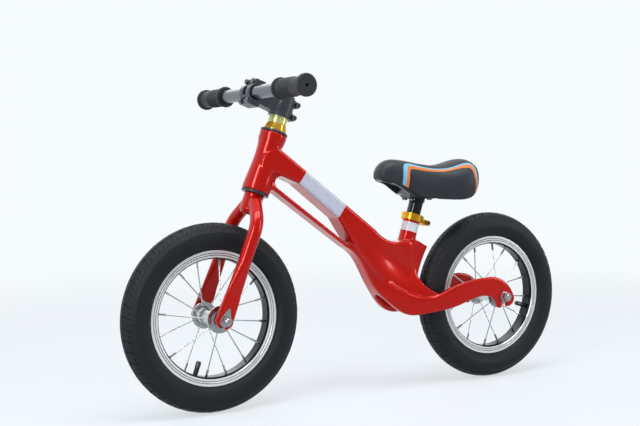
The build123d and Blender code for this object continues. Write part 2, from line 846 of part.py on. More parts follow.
for name, side in (("left_grip", 1), ("right_grip", -1)):
    grip_plane = Plane(
        origin=(bar_x, 0, bar_z),
        x_dir=(0, side, 0),
        z_dir=(side * head_forward[0], 0, side * head_forward[2]),
    )
    grip_in = bar_width / 2 - grip_length
    grip_out = bar_width / 2
    grip_bore = bar_radius + press_gap
    rib_start = grip_in + grip_flange_width + grip_rib_pitch
    flange_end = grip_in + grip_flange_width
    outline = [(grip_in, grip_bore), (grip_in, grip_flange_radius - 1.5), (grip_in + 1.5, grip_flange_radius)]
    outline += [(flange_end, grip_flange_radius - 0.5), (flange_end + 0.8, grip_radius)]
    for rib in range(grip_rib_count):
        rib_at = rib_start + rib * grip_rib_pitch
        rib_half = grip_rib_pitch / 4
        outline += [(rib_at - rib_half, grip_radius), (rib_at, grip_radius + grip_rib_height)]
        outline += [(rib_at + rib_half, grip_radius)]
    end_start = grip_out - grip_flange_width
    outline += [(end_start - 1.0, grip_radius), (end_start, grip_flange_radius)]
    outline += [(grip_out - 1.5, grip_flange_radius), (grip_out, grip_flange_radius - 1.5)]
    cap_inside = bar_end + seat_gap
    outline += [(grip_out, grip_vent_radius), (cap_inside, grip_vent_radius), (cap_inside, grip_bore)]
    with BuildPart() as grip:
        with BuildSketch(grip_plane):
            with BuildLine():
                Polyline(*outline, close=True)
            make_face()
        revolve(axis=bar_axis)
    write(grip, name)


def radial_plane(axle_x, angle):
    """Plane through an axle: local x along the axle, local y out along a spoke's direction."""
    turn = radians(angle)
    return Plane(
        origin=(axle_x, 0, axle_height), x_dir=(0, 1, 0), z_dir=(-cos(turn), 0, -sin(turn))
    )


def spoke_line(side):
    """Places along a spoke, as (across, radius): hub bend, nipple foot, rim seat and unit direction."""
    bend = (side * (flange_place - flange_thickness / 2 - 2.2), spoke_hole_circle)
    seat = (side * rim_hole_side, rim_bed_radius)
    length = hypot(seat[0] - bend[0], seat[1] - bend[1])
    step = ((seat[0] - bend[0]) / length, (seat[1] - bend[1]) / length)
    foot = (seat[0] - nipple_length * step[0], seat[1] - nipple_length * step[1])
    return bend, foot, seat, step


def spoke_places(phase):
    """Angle and side of every spoke: the two flanges take turns round the rim."""
    pitch = 360.0 / spoke_count
    return [(phase + k * pitch, 1 if k % 2 == 0 else -1) for k in range(spoke_count)]


def make_wheel(wheel, axle_x, phase, valve_gap):
    """All the pieces that spin on one axle."""
    section = wheel_section(axle_x)
    axis = axle_line(axle_x)
    flange_inner_wall = rim_half_width - rim_wall
    bed_outer = rim_bed_radius + rim_wall
    tape_low = bed_outer + nipple_lift + nipple_head + 1.0
    tube_low = tape_low + tape_thickness + seat_gap
    valve_plane = radial_plane(axle_x, phase + (valve_gap + 0.5) * 360.0 / spoke_count)
    valve_level = Plane(
        origin=valve_plane.from_local_coords((0, tube_low - seat_gap, 0)), z_dir=-valve_plane.y_dir
    )

    with BuildPart() as rim:
        with BuildSketch(section):
            with BuildLine():
                Polyline(
                    (0, rim_bed_radius),
                    (0.65 * rim_half_width, rim_bed_radius),
                    (rim_half_width, rim_bed_radius + 3.5),
                    (rim_half_width, bead_seat_radius - 0.5),
                    (rim_half_width - 0.5, bead_seat_radius),
                    (rim_half_width, bead_seat_radius + 0.5),
                    (rim_half_width, rim_outer_radius),
                    (flange_inner_wall, rim_outer_radius),
                    (flange_inner_wall, bead_seat_radius),
                    (rim_well_half, bead_seat_radius),
                    (rim_well_half - 1.5, bed_outer),
                    (0, bed_outer),
                )
                mirror(about=Plane.YZ)
            make_face()
        revolve(axis=axis)
        for angle, side in spoke_places(phase):
            bend, foot, seat, step = spoke_line(side)
            plane = radial_plane(axle_x, angle)
            hole = Plane(
                origin=plane.from_local_coords((foot[0], foot[1], 0)),
                z_dir=plane.x_dir * step[0] + plane.y_dir * step[1],
            )
            with BuildSketch(hole):
                Circle(nipple_radius + seat_gap)
            extrude(amount=2 * nipple_length, mode=Mode.SUBTRACT)
        with BuildSketch(valve_level):
            Circle(valve_radius + seat_gap)
        extrude(amount=valve_length, mode=Mode.SUBTRACT)
    write(rim, f"{wheel}_rim")

    with BuildPart() as rim_tape:
        with BuildSketch(section):
            with Locations((0, tape_low + tape_thickness / 2)):
                Rectangle(2 * (rim_well_half - 2.5), tape_thickness)
        revolve(axis=axis)
        with BuildSketch(valve_level.offset(-tape_thickness)):
            Circle(valve_radius + seat_gap)
        extrude(amount=3 * tape_thickness, mode=Mode.SUBTRACT)
    write(rim_tape, f"{wheel}_rim_tape")

    bead_half = flange_inner_wall - seat_gap
    bead_thickness = tyre_wall - 0.6
    tyre_middle = tyre_radius - tyre_width / 2
    with BuildPart() as tyre:
        with BuildSketch(section):
            with BuildLine():
                half = tyre_width / 2
                shoulder = (0.78 * half, tyre_radius - 0.3 * half)
                bead_low = bead_seat_radius + seat_gap
                bead_in = bead_half - bead_thickness
                wall_start = (rim_half_width, rim_outer_radius + 0.8)
                Line((bead_in, bead_low), (bead_half, bead_low))
                Line((bead_half, bead_low), (bead_half, rim_outer_radius + 0.3))
                Line((bead_half, rim_outer_radius + 0.3), wall_start)
                ThreePointArc(wall_start, (half, tyre_middle), shoulder)
                groove_at = tread_groove_side
                groove_low = tyre_radius - 0.25 - tread_groove_depth
                crown_edge = (groove_at + tread_groove_width, tyre_radius - 1.3)
                Line(shoulder, crown_edge)
                Line(crown_edge, (groove_at + tread_groove_width - 0.5, groove_low))
                Line((groove_at + tread_groove_width - 0.5, groove_low), (groove_at + 0.5, groove_low))
                Line((groove_at + 0.5, groove_low), (groove_at, tyre_radius - 0.2))
                Line((groove_at, tyre_radius - 0.2), (0, tyre_radius))
                inner_half = half - tyre_wall
                inner_top = tyre_radius - tyre_wall - 1.0
                Line((bead_in, bead_low), (bead_in, rim_outer_radius))
                Polyline(
                    (bead_in, rim_outer_radius),
                    (0.86 * inner_half, rim_outer_radius + 0.5 * (tyre_middle - rim_outer_radius)),
                    (inner_half, tyre_middle),
                    (0.8 * inner_half, tyre_middle + 0.6 * (inner_top - tyre_middle)),
                    (0.4 * inner_half, inner_top - 1.5),
                    (0, inner_top),
                )
                mirror(about=Plane.YZ)
            make_face()
        revolve(axis=axis)
    write(tyre, f"{wheel}_tyre")

    tube_foot = rim_well_half - 2.5
    with BuildPart() as inner_tube:
        with BuildSketch(section):
            with BuildLine():
                Polyline(
                    (0, tube_low),
                    (tube_foot - 1.5, tube_low),
                    (bead_half - bead_thickness - tube_gap, rim_outer_radius),
                    (0.86 * inner_half - tube_gap, rim_outer_radius + 0.5 * (tyre_middle - rim_outer_radius)),
                    (inner_half - tube_gap, tyre_middle),
                    (0.8 * inner_half - tube_gap, tyre_middle + 0.6 * (inner_top - tyre_middle) - tube_gap),
                    (0.4 * inner_half, inner_top - 1.5 - tube_gap),
                    (0, inner_top - tube_gap),
                )
                mirror(about=Plane.YZ)
            make_face()
        revolve(axis=axis)
    write(inner_tube, f"{wheel}_inner_tube")

    with BuildPart() as hub:
        with BuildSketch(section):
            with BuildLine():
                flange_in = flange_place - flange_thickness / 2
                flange_out = flange_place + flange_thickness / 2
                Polyline(
                    (0, hub_bore_radius),
                    (cup_floor, hub_bore_radius),
                    (cup_floor, hub_cup_radius),
                    (cup_end, hub_cup_radius),
                    (cup_end, hub_cup_radius + 2.0),
                    (flange_out, hub_cup_radius + 2.5),
                    (flange_out, flange_radius),
                    (flange_in, flange_radius),
                    (flange_in, hub_cup_radius + 4.0),
                    (flange_in - 7.0, barrel_radius),
                    (0, barrel_radius),
                )
                mirror(about=Plane.YZ)
            make_face()
        revolve(axis=axis)
        for angle, side in spoke_places(phase):
            plane = radial_plane(axle_x, angle)
            hole_start = plane.from_local_coords((side * (flange_place - 4), spoke_hole_circle, 0))
            with BuildSketch(Plane(origin=hole_start, z_dir=(0, side, 0))):
                Circle(spoke_radius + 0.3)
            extrude(amount=8, mode=Mode.SUBTRACT)
    write(hub, f"{wheel}_hub_shell")

    with BuildPart() as ball_rings:
        with BuildSketch(section):
            with BuildLine():
                ring_low = cone_radius + running_clearance
                ring_high = hub_cup_radius - press_gap
                Polyline(
                    (cup_floor + seat_gap, ring_low),
                    (cup_floor + seat_gap, ring_high),
                    (cup_floor + seat_gap + hub_ring_width, ring_high),
                    (cup_floor + seat_gap + hub_ring_width, ring_low),
                    close=True,
                )
            make_face()
            mirror(about=Plane.YZ)
        revolve(axis=axis)
    write(ball_rings, f"{wheel}_hub_ball_rings")

    with BuildPart() as spokes:
        for angle, side in spoke_places(phase):
            bend, foot, seat, step = spoke_line(side)
            plane = radial_plane(axle_x, angle)
            with BuildLine(plane) as wire:
                Polyline((side * (flange_place + flange_thickness / 2 + 1.0), spoke_hole_circle), bend, foot)
            with BuildSketch(Plane(origin=wire.line @ 0, z_dir=wire.line % 0)):
                Circle(spoke_radius)
            sweep(path=wire.line, transition=Transition.RIGHT)
    write(spokes, f"{wheel}_spokes")

    with BuildPart() as nipples:
        for angle, side in spoke_places(phase):
            bend, foot, seat, step = spoke_line(side)
            plane = radial_plane(axle_x, angle)
            along = plane.x_dir * step[0] + plane.y_dir * step[1]
            foot_place = plane.from_local_coords((foot[0], foot[1], 0))
            head_start = nipple_length + rim_wall + nipple_lift
            with BuildSketch(Plane(origin=foot_place, z_dir=along)):
                RegularPolygon(nipple_radius, 8)
            extrude(amount=head_start + nipple_head)
            with BuildSketch(Plane(origin=foot_place + along * head_start, z_dir=along)):
                RegularPolygon(nipple_radius + 0.8, 8)
            extrude(amount=nipple_head)
    write(nipples, f"{wheel}_nipples")

    with BuildPart() as valve_stem:
        with BuildSketch(valve_level):
            Circle(valve_radius)
        extrude(amount=valve_length - valve_cap_length)
    write(valve_stem, f"{wheel}_valve_stem")

    with BuildPart() as valve_cap:
        with BuildSketch(valve_level.offset(valve_length - valve_cap_length)):
            Circle(valve_radius + 0.4)
        extrude(amount=valve_cap_length)
        hub_middle = Vertex(axle_x, 0, axle_height)
        cap_tip = valve_cap.edges().filter_by(GeomType.CIRCLE).sort_by_distance(hub_middle)[0]
        fillet(cap_tip, radius=0.7 * valve_radius)
    write(valve_cap, f"{wheel}_valve_cap")


def make_axle_set(wheel, axle_x, tabbed):
    """The pieces that hold one wheel and don't spin with it."""
    section = wheel_section(axle_x)
    axis = axle_line(axle_x)
    plate_outer = dropout_inner + (fork_plate_thickness if tabbed else dropout_thickness)
    axle_end = plate_outer + axle_stick_out
    thread_radius = axle_radius + press_gap

    with BuildPart() as axle:
        with BuildSketch(across_plane(axle_x, -axle_end, axle_height)):
            Circle(axle_radius)
        extrude(amount=2 * axle_end)
        chamfer(axle.edges().filter_by(GeomType.CIRCLE), length=1.0)
    write(axle, f"{wheel}_axle")

    with BuildPart() as cones:
        with BuildSketch(section):
            with BuildLine():
                Polyline(
                    (cup_floor + seat_gap, thread_radius),
                    (cup_floor + seat_gap, cone_radius),
                    (cup_floor + hub_ring_width + 1.0, cone_radius),
                    (cup_floor + hub_ring_width + 1.5, cone_radius + 2.0),
                    (dropout_inner - lock_nut_height, cone_radius + 2.0),
                    (dropout_inner - lock_nut_height, thread_radius),
                    close=True,
                )
            make_face()
            mirror(about=Plane.YZ)
        revolve(axis=axis)
    write(cones, f"{wheel}_cones")

    with BuildPart() as lock_nuts:
        for side in (1, -1):
            with BuildSketch(across_plane(axle_x, side * dropout_inner, axle_height)):
                RegularPolygon(nut_across_flats / 2, 6, major_radius=False)
                Circle(thread_radius, mode=Mode.SUBTRACT)
            extrude(amount=-side * lock_nut_height)
    write(lock_nuts, f"{wheel}_lock_nuts")

    with BuildPart() as washers:
        for side in (1, -1):
            if tabbed:
                plane = blade_side(side * plate_outer)
            else:
                outer_face = (axle_x, side * plate_outer, axle_height)
                plane = Plane(origin=outer_face, x_dir=(1, 0, 0), z_dir=(0, -1, 0))
            with BuildSketch(plane):
                Circle(washer_radius)
                if tabbed:
                    with BuildLine():
                        Polyline(
                            (-0.9 * washer_radius, 0.44 * washer_radius),
                            (-1.5, tab_height),
                            (1.5, tab_height),
                            (0.9 * washer_radius, 0.44 * washer_radius),
                            close=True,
                        )
                    make_face()
                Circle(thread_radius, mode=Mode.SUBTRACT)
            extrude(amount=-side * washer_thickness)
    write(washers, f"{wheel}_axle_washers")

    with BuildPart() as nuts:
        for side in (1, -1):
            with BuildSketch(across_plane(axle_x, side * (plate_outer + washer_thickness), axle_height)):
                RegularPolygon(nut_across_flats / 2, 6, major_radius=False)
                Circle(thread_radius, mode=Mode.SUBTRACT)
            extrude(amount=side * nut_height)
    write(nuts, f"{wheel}_axle_nuts")


make_wheel("front", front_axle_x, front_spoke_phase, front_valve_gap)
make_wheel("rear", rear_axle_x, rear_spoke_phase, rear_valve_gap)
make_axle_set("front", front_axle_x, True)
make_axle_set("rear", rear_axle_x, False)

# Seat clamp: a split ring with two ears at the back
clamp_low = -clamp_height + clamp_lip
ear_back = clamp_radius + 14.0
ear_bolt_back = clamp_radius + 8.0
ear_bolt_level = clamp_low + 0.36 * clamp_height
with BuildPart() as seat_clamp:
    with BuildSketch(seat_side):
        with BuildLine():
            Polyline(
                (seat_tube_radius + press_gap, clamp_low),
                (clamp_radius - 0.8, clamp_low),
                (clamp_radius, clamp_low + 0.8),
                (clamp_radius, clamp_lip - 4.0),
                (clamp_radius + 0.9, clamp_lip - 3.2),
                (clamp_radius + 0.9, clamp_lip - 0.8),
                (clamp_radius, clamp_lip),
                (seat_post_radius + 0.4, clamp_lip),
                (seat_post_radius + 0.4, seat_gap),
                (seat_tube_radius + press_gap, seat_gap),
                close=True,
            )
        make_face()
    revolve(axis=seat_axis)
    with BuildSketch(seat_side):
        with Locations(((-ear_back - clamp_radius + 2.0) / 2, ear_bolt_level)):
            RectangleRounded(ear_back - clamp_radius + 2.0, 0.75 * clamp_height, 3.0)
    extrude(amount=ear_half_width, both=True)
    with BuildSketch(seat_level(-clamp_height, -ear_back / 2 - seat_post_radius / 2)):
        Rectangle(ear_back - seat_post_radius + 4.0, clamp_slit)
    extrude(amount=2 * clamp_height, mode=Mode.SUBTRACT)
    with BuildSketch(seat_side):
        with Locations((-ear_bolt_back, ear_bolt_level)):
            Circle(bolt_radius + seat_gap)
    extrude(amount=2 * ear_half_width, both=True, mode=Mode.SUBTRACT)
write(seat_clamp, "seat_clamp")

ear_plane = seat_level(ear_bolt_level, -ear_bolt_back)
ear_x = ear_plane.origin.X
ear_z = ear_plane.origin.Z
with BuildPart() as seat_clamp_bolt:
    with BuildSketch(across_plane(ear_x, -ear_half_width, ear_z)):
        Circle(bolt_radius)
    extrude(amount=2 * ear_half_width)
    with BuildSketch(across_plane(ear_x, ear_half_width, ear_z)):
        Circle(bolt_head_radius)
    extrude(amount=bolt_head_height)
    with BuildSketch(across_plane(ear_x, ear_half_width + bolt_head_height, ear_z)):
        RegularPolygon(socket_radius, 6)
    extrude(amount=-0.6 * bolt_head_height, mode=Mode.SUBTRACT)
write(seat_clamp_bolt, "seat_clamp_bolt")

with BuildPart() as seat_clamp_nut:
    with BuildSketch(across_plane(ear_x, -ear_half_width, ear_z)):
        Circle(bolt_head_radius)
    extrude(amount=-bolt_head_height)
write(seat_clamp_nut, "seat_clamp_nut")

# Seat post: a tube with a collar and a plate welded on top
post_top = clamp_lip + post_shown
plate_level = seat_level(post_top).origin.Z
post_x = seat_level(post_top).origin.X
with BuildPart() as seat_post:
    with BuildSketch(seat_level(post_top - seat_post_length)):
        Circle(seat_post_radius)
    extrude(amount=seat_post_length + 2.0)
    with BuildSketch(seat_level(post_top - collar_height)):
        Circle(seat_post_radius + collar_wall)
    extrude(amount=collar_height + 2.0)
    with BuildSketch(Plane.XY.offset(plate_level)):
        with Locations((post_x, 0)):
            RectangleRounded(saddle_plate_length, saddle_plate_width, 6.0)
    extrude(amount=saddle_plate_thickness)
    with BuildSketch(Plane.XY.offset(plate_level + saddle_plate_thickness)):
        with Locations((post_x, 0)):
            Rectangle(2 * saddle_plate_length, 2 * saddle_plate_width)
    extrude(amount=saddle_plate_length, mode=Mode.SUBTRACT)
    with BuildSketch(seat_level(post_top - seat_post_length)):
        Circle(seat_post_radius - seat_post_wall)
    extrude(amount=seat_post_length - 3.0, mode=Mode.SUBTRACT)
    with BuildSketch(Plane.XY.offset(plate_level)):
        with Locations((post_x, 0)):
            with GridLocations(screw_spacing_x, screw_spacing_y, 2, 2):
                Circle(screw_radius + seat_gap)
    extrude(amount=saddle_plate_thickness, mode=Mode.SUBTRACT)
write(seat_post, "seat_post")

# Saddle: the cushion swells from a round nose to a wide tail, crowned on top and drawn in below
saddle_low = plate_level + saddle_plate_thickness
nose_x = post_x + saddle_nose_forward


def saddle_section(back, half, low, top):
    """Place, half width and heights of a section, given behind the nose and above the saddle plate."""
    return (nose_x - back, half * saddle_half_width, saddle_low + low, saddle_low + top)


cushion_sections = [
    saddle_section(0.0, 0.12, 0.495 * saddle_height, 0.61 * saddle_height),
    saddle_section(3.0, 0.25, 0.48 * saddle_height, 0.765 * saddle_height),
    saddle_section(10.0, 0.355, 0.45 * saddle_height, 0.90 * saddle_height),
    saddle_section(28.0, 0.45, 0.37 * saddle_height, saddle_height),
    saddle_section(52.0, 0.52, 0.215 * saddle_height, 0.97 * saddle_height),
    saddle_section(72.0, 0.60, 0.05 * saddle_height, 0.91 * saddle_height),
    saddle_section(95.0, 0.69, -0.02 * saddle_height, 0.855 * saddle_height),
    saddle_section(120.0, 0.81, -0.07 * saddle_height, 0.83 * saddle_height),
    saddle_section(0.72 * saddle_length, 0.95, -0.085 * saddle_height, 0.89 * saddle_height),
    saddle_section(0.86 * saddle_length, 1.0, -0.04 * saddle_height, 0.995 * saddle_height),
    saddle_section(0.94 * saddle_length, 0.89, 0.10 * saddle_height, 0.985 * saddle_height),
    saddle_section(0.98 * saddle_length, 0.68, 0.26 * saddle_height, 0.88 * saddle_height),
    saddle_section(saddle_length, 0.42, 0.41 * saddle_height, 0.73 * saddle_height),
]
base_sections = [
    saddle_section(4.0, 0.17, 0.45 * saddle_height, 0.53 * saddle_height),
    saddle_section(20.0, 0.33, 0.385 * saddle_height, 0.475 * saddle_height),
    saddle_section(46.0, 0.42, 0.18 * saddle_height, 0.32 * saddle_height),
    saddle_section(66.0, 0.44, 0.02 * saddle_height, 0.21 * saddle_height),
    saddle_section(92.0, 0.49, 0.0, 0.12 * saddle_height),
    saddle_section(130.0, 0.64, 0.0, 0.10 * saddle_height),
    saddle_section(0.86 * saddle_length, 0.78, 0.08 * saddle_height, 0.17 * saddle_height),
    saddle_section(0.94 * saddle_length, 0.60, 0.22 * saddle_height, 0.31 * saddle_height),
]


def saddle_plane(x):
    """Plane square to the bike's length, with local x to the rider's left and local y up."""
    return Plane(origin=(x, 0, 0), x_dir=(0, 1, 0), z_dir=(1, 0, 0))


# Room in the cushion's underside for the plastic pan
with BuildPart() as recess:
    for x, half, low, top in base_sections:
        with BuildSketch(saddle_plane(x)):
            with BuildLine():
                wide = half + pan_gap
                Polyline(
                    (-wide, low - recess_depth),
                    (wide, low - recess_depth),
                    (wide, top + pan_gap),
                    (-wide, top + pan_gap),
                    close=True,
                )
            make_face()
    loft()

with BuildPart() as cushion:
    for x, half, low, top in cushion_sections:
        belly = low + 0.42 * (top - low)
        edge = low + 0.80 * (top - low)
        with BuildSketch(saddle_plane(x)):
            with BuildLine():
                Line((-0.86 * half, low), (0.86 * half, low))
                ThreePointArc((0.86 * half, low), (0.975 * half, (low + belly) / 2), (half, belly))
                ThreePointArc((half, belly), (0.95 * half, 0.45 * belly + 0.55 * edge), (0.8 * half, edge))
                ThreePointArc((0.8 * half, edge), (0, top), (-0.8 * half, edge))
                ThreePointArc((-0.8 * half, edge), (-0.95 * half, 0.45 * belly + 0.55 * edge), (-half, belly))
                ThreePointArc((-half, belly), (-0.975 * half, (low + belly) / 2), (-0.86 * half, low))
            make_face()
    loft()
    add(recess, mode=Mode.SUBTRACT)
write(cushion, "saddle_cushion")



def between(front, rear, share):
    """Section part of the way from one section to the next."""
    return tuple(a + share * (b - a) for a, b in zip(front, rear))


# Under the nose the pan is a tray with a raised rim
tray_sections = [
    between(base_sections[0], base_sections[1], 0.2),
    base_sections[1],
    base_sections[2],
    between(base_sections[2], base_sections[3], 0.5),
]
with BuildPart() as tray:
    for x, half, low, top in tray_sections:
        inside = half - base_rim
        with BuildSketch(saddle_plane(x)):
            with BuildLine():
                Polyline(
                    (-inside, low - recess_depth),
                    (inside, low - recess_depth),
                    (inside, top - base_skin),
                    (-inside, top - base_skin),
                    close=True,
                )
            make_face()
    loft()

with BuildPart() as saddle_base:
    for x, half, low, top in base_sections:
        with BuildSketch(saddle_plane(x)):
            with BuildLine():
                Polyline((-half, low), (half, low), (half, top), (-half, top), close=True)
            make_face()
    loft()
    add(tray, mode=Mode.SUBTRACT)
    with BuildSketch(Plane.XY.offset(saddle_low)):
        with Locations((post_x, 0)):
            RectangleRounded(saddle_plate_length + 4.0, saddle_plate_width + 4.0, 6.0)
    extrude(amount=base_thickness)
    with BuildSketch(Plane.XY.offset(saddle_low)):
        with Locations((post_x, 0)):
            Rectangle(saddle_plate_length + 5.0, saddle_plate_width + 5.0)
    extrude(amount=-2 * base_thickness, mode=Mode.SUBTRACT)
    with BuildSketch(Plane.XY.offset(saddle_low)):
        with Locations((post_x, 0)):
            with GridLocations(screw_spacing_x, screw_spacing_y, 2, 2):
                Circle(screw_radius + seat_gap)
    extrude(amount=base_thickness, mode=Mode.SUBTRACT)
write(saddle_base, "saddle_base")

with BuildPart() as saddle_screws:
    with BuildSketch(Plane.XY.offset(plate_level)):
        with Locations((post_x, 0)):
            with GridLocations(screw_spacing_x, screw_spacing_y, 2, 2):
                Circle(1.8 * screw_radius)
    extrude(amount=-screw_radius)
    with BuildSketch(Plane.XY.offset(plate_level)):
        with Locations((post_x, 0)):
            with GridLocations(screw_spacing_x, screw_spacing_y, 2, 2):
                Circle(screw_radius)
    extrude(amount=saddle_plate_thickness + base_thickness - 1.5)
write(saddle_screws, "saddle_screws")
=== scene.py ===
# %% [markdown]
# # A child's balance bike, finished in Blender
#
# The bike has a cast frame with two rails, a steel fork, two small spoked wheels and a padded saddle.
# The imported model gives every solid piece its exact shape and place, in metres.
# This file adds what solid modelling can't: rounded castings, tread, padding, paint, plating and light.

# %% Load the fixed frame
import json
from math import cos, exp, hypot, pi, radians, sin

import bpy
from mathutils import Matrix, Vector

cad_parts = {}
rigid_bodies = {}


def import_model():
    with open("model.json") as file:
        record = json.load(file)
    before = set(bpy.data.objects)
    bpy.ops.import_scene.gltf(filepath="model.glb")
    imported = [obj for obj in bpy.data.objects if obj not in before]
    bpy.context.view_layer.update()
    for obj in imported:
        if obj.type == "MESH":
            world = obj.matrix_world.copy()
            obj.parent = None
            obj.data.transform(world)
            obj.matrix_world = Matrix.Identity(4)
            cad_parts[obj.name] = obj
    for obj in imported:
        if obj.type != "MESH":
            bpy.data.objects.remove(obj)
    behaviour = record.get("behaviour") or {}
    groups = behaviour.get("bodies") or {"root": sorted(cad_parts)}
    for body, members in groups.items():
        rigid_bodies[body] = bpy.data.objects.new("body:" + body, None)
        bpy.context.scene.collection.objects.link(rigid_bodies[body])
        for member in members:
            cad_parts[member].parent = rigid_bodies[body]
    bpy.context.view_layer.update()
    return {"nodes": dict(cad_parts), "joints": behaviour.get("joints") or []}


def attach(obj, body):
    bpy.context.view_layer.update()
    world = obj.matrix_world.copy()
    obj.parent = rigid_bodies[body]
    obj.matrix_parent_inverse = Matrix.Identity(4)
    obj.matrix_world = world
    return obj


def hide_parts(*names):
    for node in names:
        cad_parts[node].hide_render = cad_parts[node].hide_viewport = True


for leftover in list(bpy.data.objects):
    bpy.data.objects.remove(leftover)
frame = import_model()
nodes = frame["nodes"]

# %% [markdown]
# ## Places that the pieces share
#
# Wheels turn about their axles and the bars turn about the steering line.
# The model already holds those places, so they are read from it and never typed in twice.

# %% Read the axles, the steering line and the seat line
MM = 0.001
joints = {joint["name"]: joint for joint in frame["joints"]}
front_axle = Vector(joints["front_wheel_spin"]["pos_m"])
rear_axle = Vector(joints["rear_wheel_spin"]["pos_m"])
steer_foot = Vector(joints["steering_turn"]["pos_m"])
steer_line = Vector(joints["steering_turn"]["axis"])
seat_line = Vector(joints["seat_height"]["axis"])
print("axles at", front_axle, rear_axle)

# %% [markdown]
# ## The camera
#
# The photograph was taken from the bike's front left, about as high as the saddle.
# A slightly long lens keeps the two wheels nearly the same size.
# The camera's place was worked out once from the wheels' outlines, and a slight roll of the horizon is kept.

# %% Camera
eye = Vector((0.96157, 1.53356, 0.38483))
aim = Vector((0.07752, 0.0, 0.31191))
horizon_roll = radians(-0.59)
forward = (aim - eye).normalized()
level_right = forward.cross(Vector((0, 0, 1))).normalized()
level_up = level_right.cross(forward)
right = level_right * cos(horizon_roll) + level_up * sin(horizon_roll)
up = level_up * cos(horizon_roll) - level_right * sin(horizon_roll)
facing = Matrix((right, up, -forward)).transposed().to_quaternion()
camera_data = bpy.data.cameras.new("camera")
camera_data.sensor_fit = "HORIZONTAL"
camera_data.sensor_width = 36.0
camera_data.lens = 59.36
camera = bpy.data.objects.new("camera", camera_data)
camera.matrix_world = Matrix.LocRotScale(eye, facing, None)
bpy.context.scene.collection.objects.link(camera)
bpy.context.scene.camera = camera
bpy.context.scene.view_settings.view_transform = "Standard"
print("camera is", round((eye - aim).length, 2), "m from the bike")

# %% [markdown]
# ## Helpers for finishes
#
# Colours are written as sRGB hex values, as a colour card gives them, and shaders want linear light.
# One function adds any node, sets it and wires it, so each finish below reads like a recipe.
# Every finish starts alike: a material, its surface shader and the piece's own coordinates.


# %% Colour, node and finish
def linear(hex_colour):
    """Turns an sRGB hex colour into linear RGBA."""
    parts = [int(hex_colour[i:i + 2], 16) / 255 for i in (1, 3, 5)]
    curve = [c / 12.92 if c <= 0.04045 else ((c + 0.055) / 1.055) ** 2.4 for c in parts]
    return (*curve, 1.0)


def add(tree, kind, feeds=None, **settings):
    """Adds one node, sets its options, and fills or links its inputs."""
    node = tree.nodes.new(kind)
    for key, value in settings.items():
        setattr(node, key, value)
    for key, value in (feeds or {}).items():
        if isinstance(value, bpy.types.NodeSocket):
            tree.links.new(value, node.inputs[key])
        else:
            node.inputs[key].default_value = value
    return node


def start_finish(name, hex_colour, **sockets):
    """Starts a material: its tree, its surface shader and the piece's own coordinates."""
    material = bpy.data.materials.new(name)
    material.use_nodes = True
    material.diffuse_color = linear(hex_colour)
    tree = material.node_tree
    shader = tree.nodes["Principled BSDF"]
    shader.inputs["Base Color"].default_value = linear(hex_colour)
    for key, value in sockets.items():
        shader.inputs[key.replace("_", " ").title().replace("Ior", "IOR")].default_value = value
    place = add(tree, "ShaderNodeTexCoord").outputs["Object"]
    return material, tree, shader, place


print("a mid grey of #808080 is", round(linear("#808080")[0], 3), "in linear light")

# %% [markdown]
# ## Floor and light
#
# The bike stands in a pale studio with no edge between floor and wall.
# A curved backdrop would do for one view, but it shows its back from the others.
# So the floor is a flat disc that fades into the background with distance.
# No horizon shows then, from any side.

# %% Floor
# Matt floor paint takes the soft shadows under the tyres and gives next to no reflection.
BACKDROP = "#f6fbfe"
FADE_FROM, FADE_TO, FADE_UNDER_BIKE = 0.6, 2.6, 0.62
bpy.ops.object.select_all(action="DESELECT")
bpy.ops.mesh.primitive_circle_add(vertices=96, radius=6.0, fill_type="NGON", location=(0, 0, 0))
floor = bpy.context.object
floor.name = "studio_floor"
floor_paint, tree, shader, place = start_finish("pale_studio_floor", "#e3e9f0", roughness=0.6,
                                                specular_ior_level=0.2)
reach = add(tree, "ShaderNodeVectorMath", {0: place}, operation="LENGTH")
fade = add(tree, "ShaderNodeMapRange",
           {"Value": reach.outputs["Value"], "From Min": FADE_FROM, "From Max": FADE_TO,
            "To Min": FADE_UNDER_BIKE}, interpolation_type="SMOOTHSTEP")
ray = add(tree, "ShaderNodeLightPath").outputs
seen = add(tree, "ShaderNodeMath", {0: ray["Is Camera Ray"], 1: ray["Is Glossy Ray"]}, operation="ADD")
gone = add(tree, "ShaderNodeMath", {0: fade.outputs["Result"], 1: seen.outputs["Value"]},
           operation="MULTIPLY")
clear = add(tree, "ShaderNodeBsdfTransparent")
blend = add(tree, "ShaderNodeMixShader",
            {0: gone.outputs["Value"], 1: shader.outputs["BSDF"], 2: clear.outputs["BSDF"]})
tree.links.new(blend.outputs["Shader"], tree.nodes["Material Output"].inputs["Surface"])
floor.data.materials.append(floor_paint)
print("floor is", round(floor.dimensions.x, 1), "m across")

# %% [markdown]
# Each lamp is a softbox, a rectangle that shines from its whole face.
# A wide one overhead lights every top, and tall narrow ones draw pale streaks down paint and tubes.
# A small lamp would give hard shadows and pinpoint highlights, which no studio picture of a bike has.

# %% Lamps
BIKE_MIDDLE = Vector((0.0, 0.0, 0.28))


def softbox(name, place, width, height, watts):
    """A large rectangular lamp that faces the middle of the bike."""
    lamp_data = bpy.data.lights.new(name, "AREA")
    lamp_data.shape = "RECTANGLE"
    lamp_data.size = width
    lamp_data.size_y = height
    lamp_data.energy = watts
    lamp = bpy.data.objects.new(name, lamp_data)
    lamp.location = place
    lamp.rotation_euler = (BIKE_MIDDLE - Vector(place)).to_track_quat("-Z", "Y").to_euler()
    bpy.context.scene.collection.objects.link(lamp)


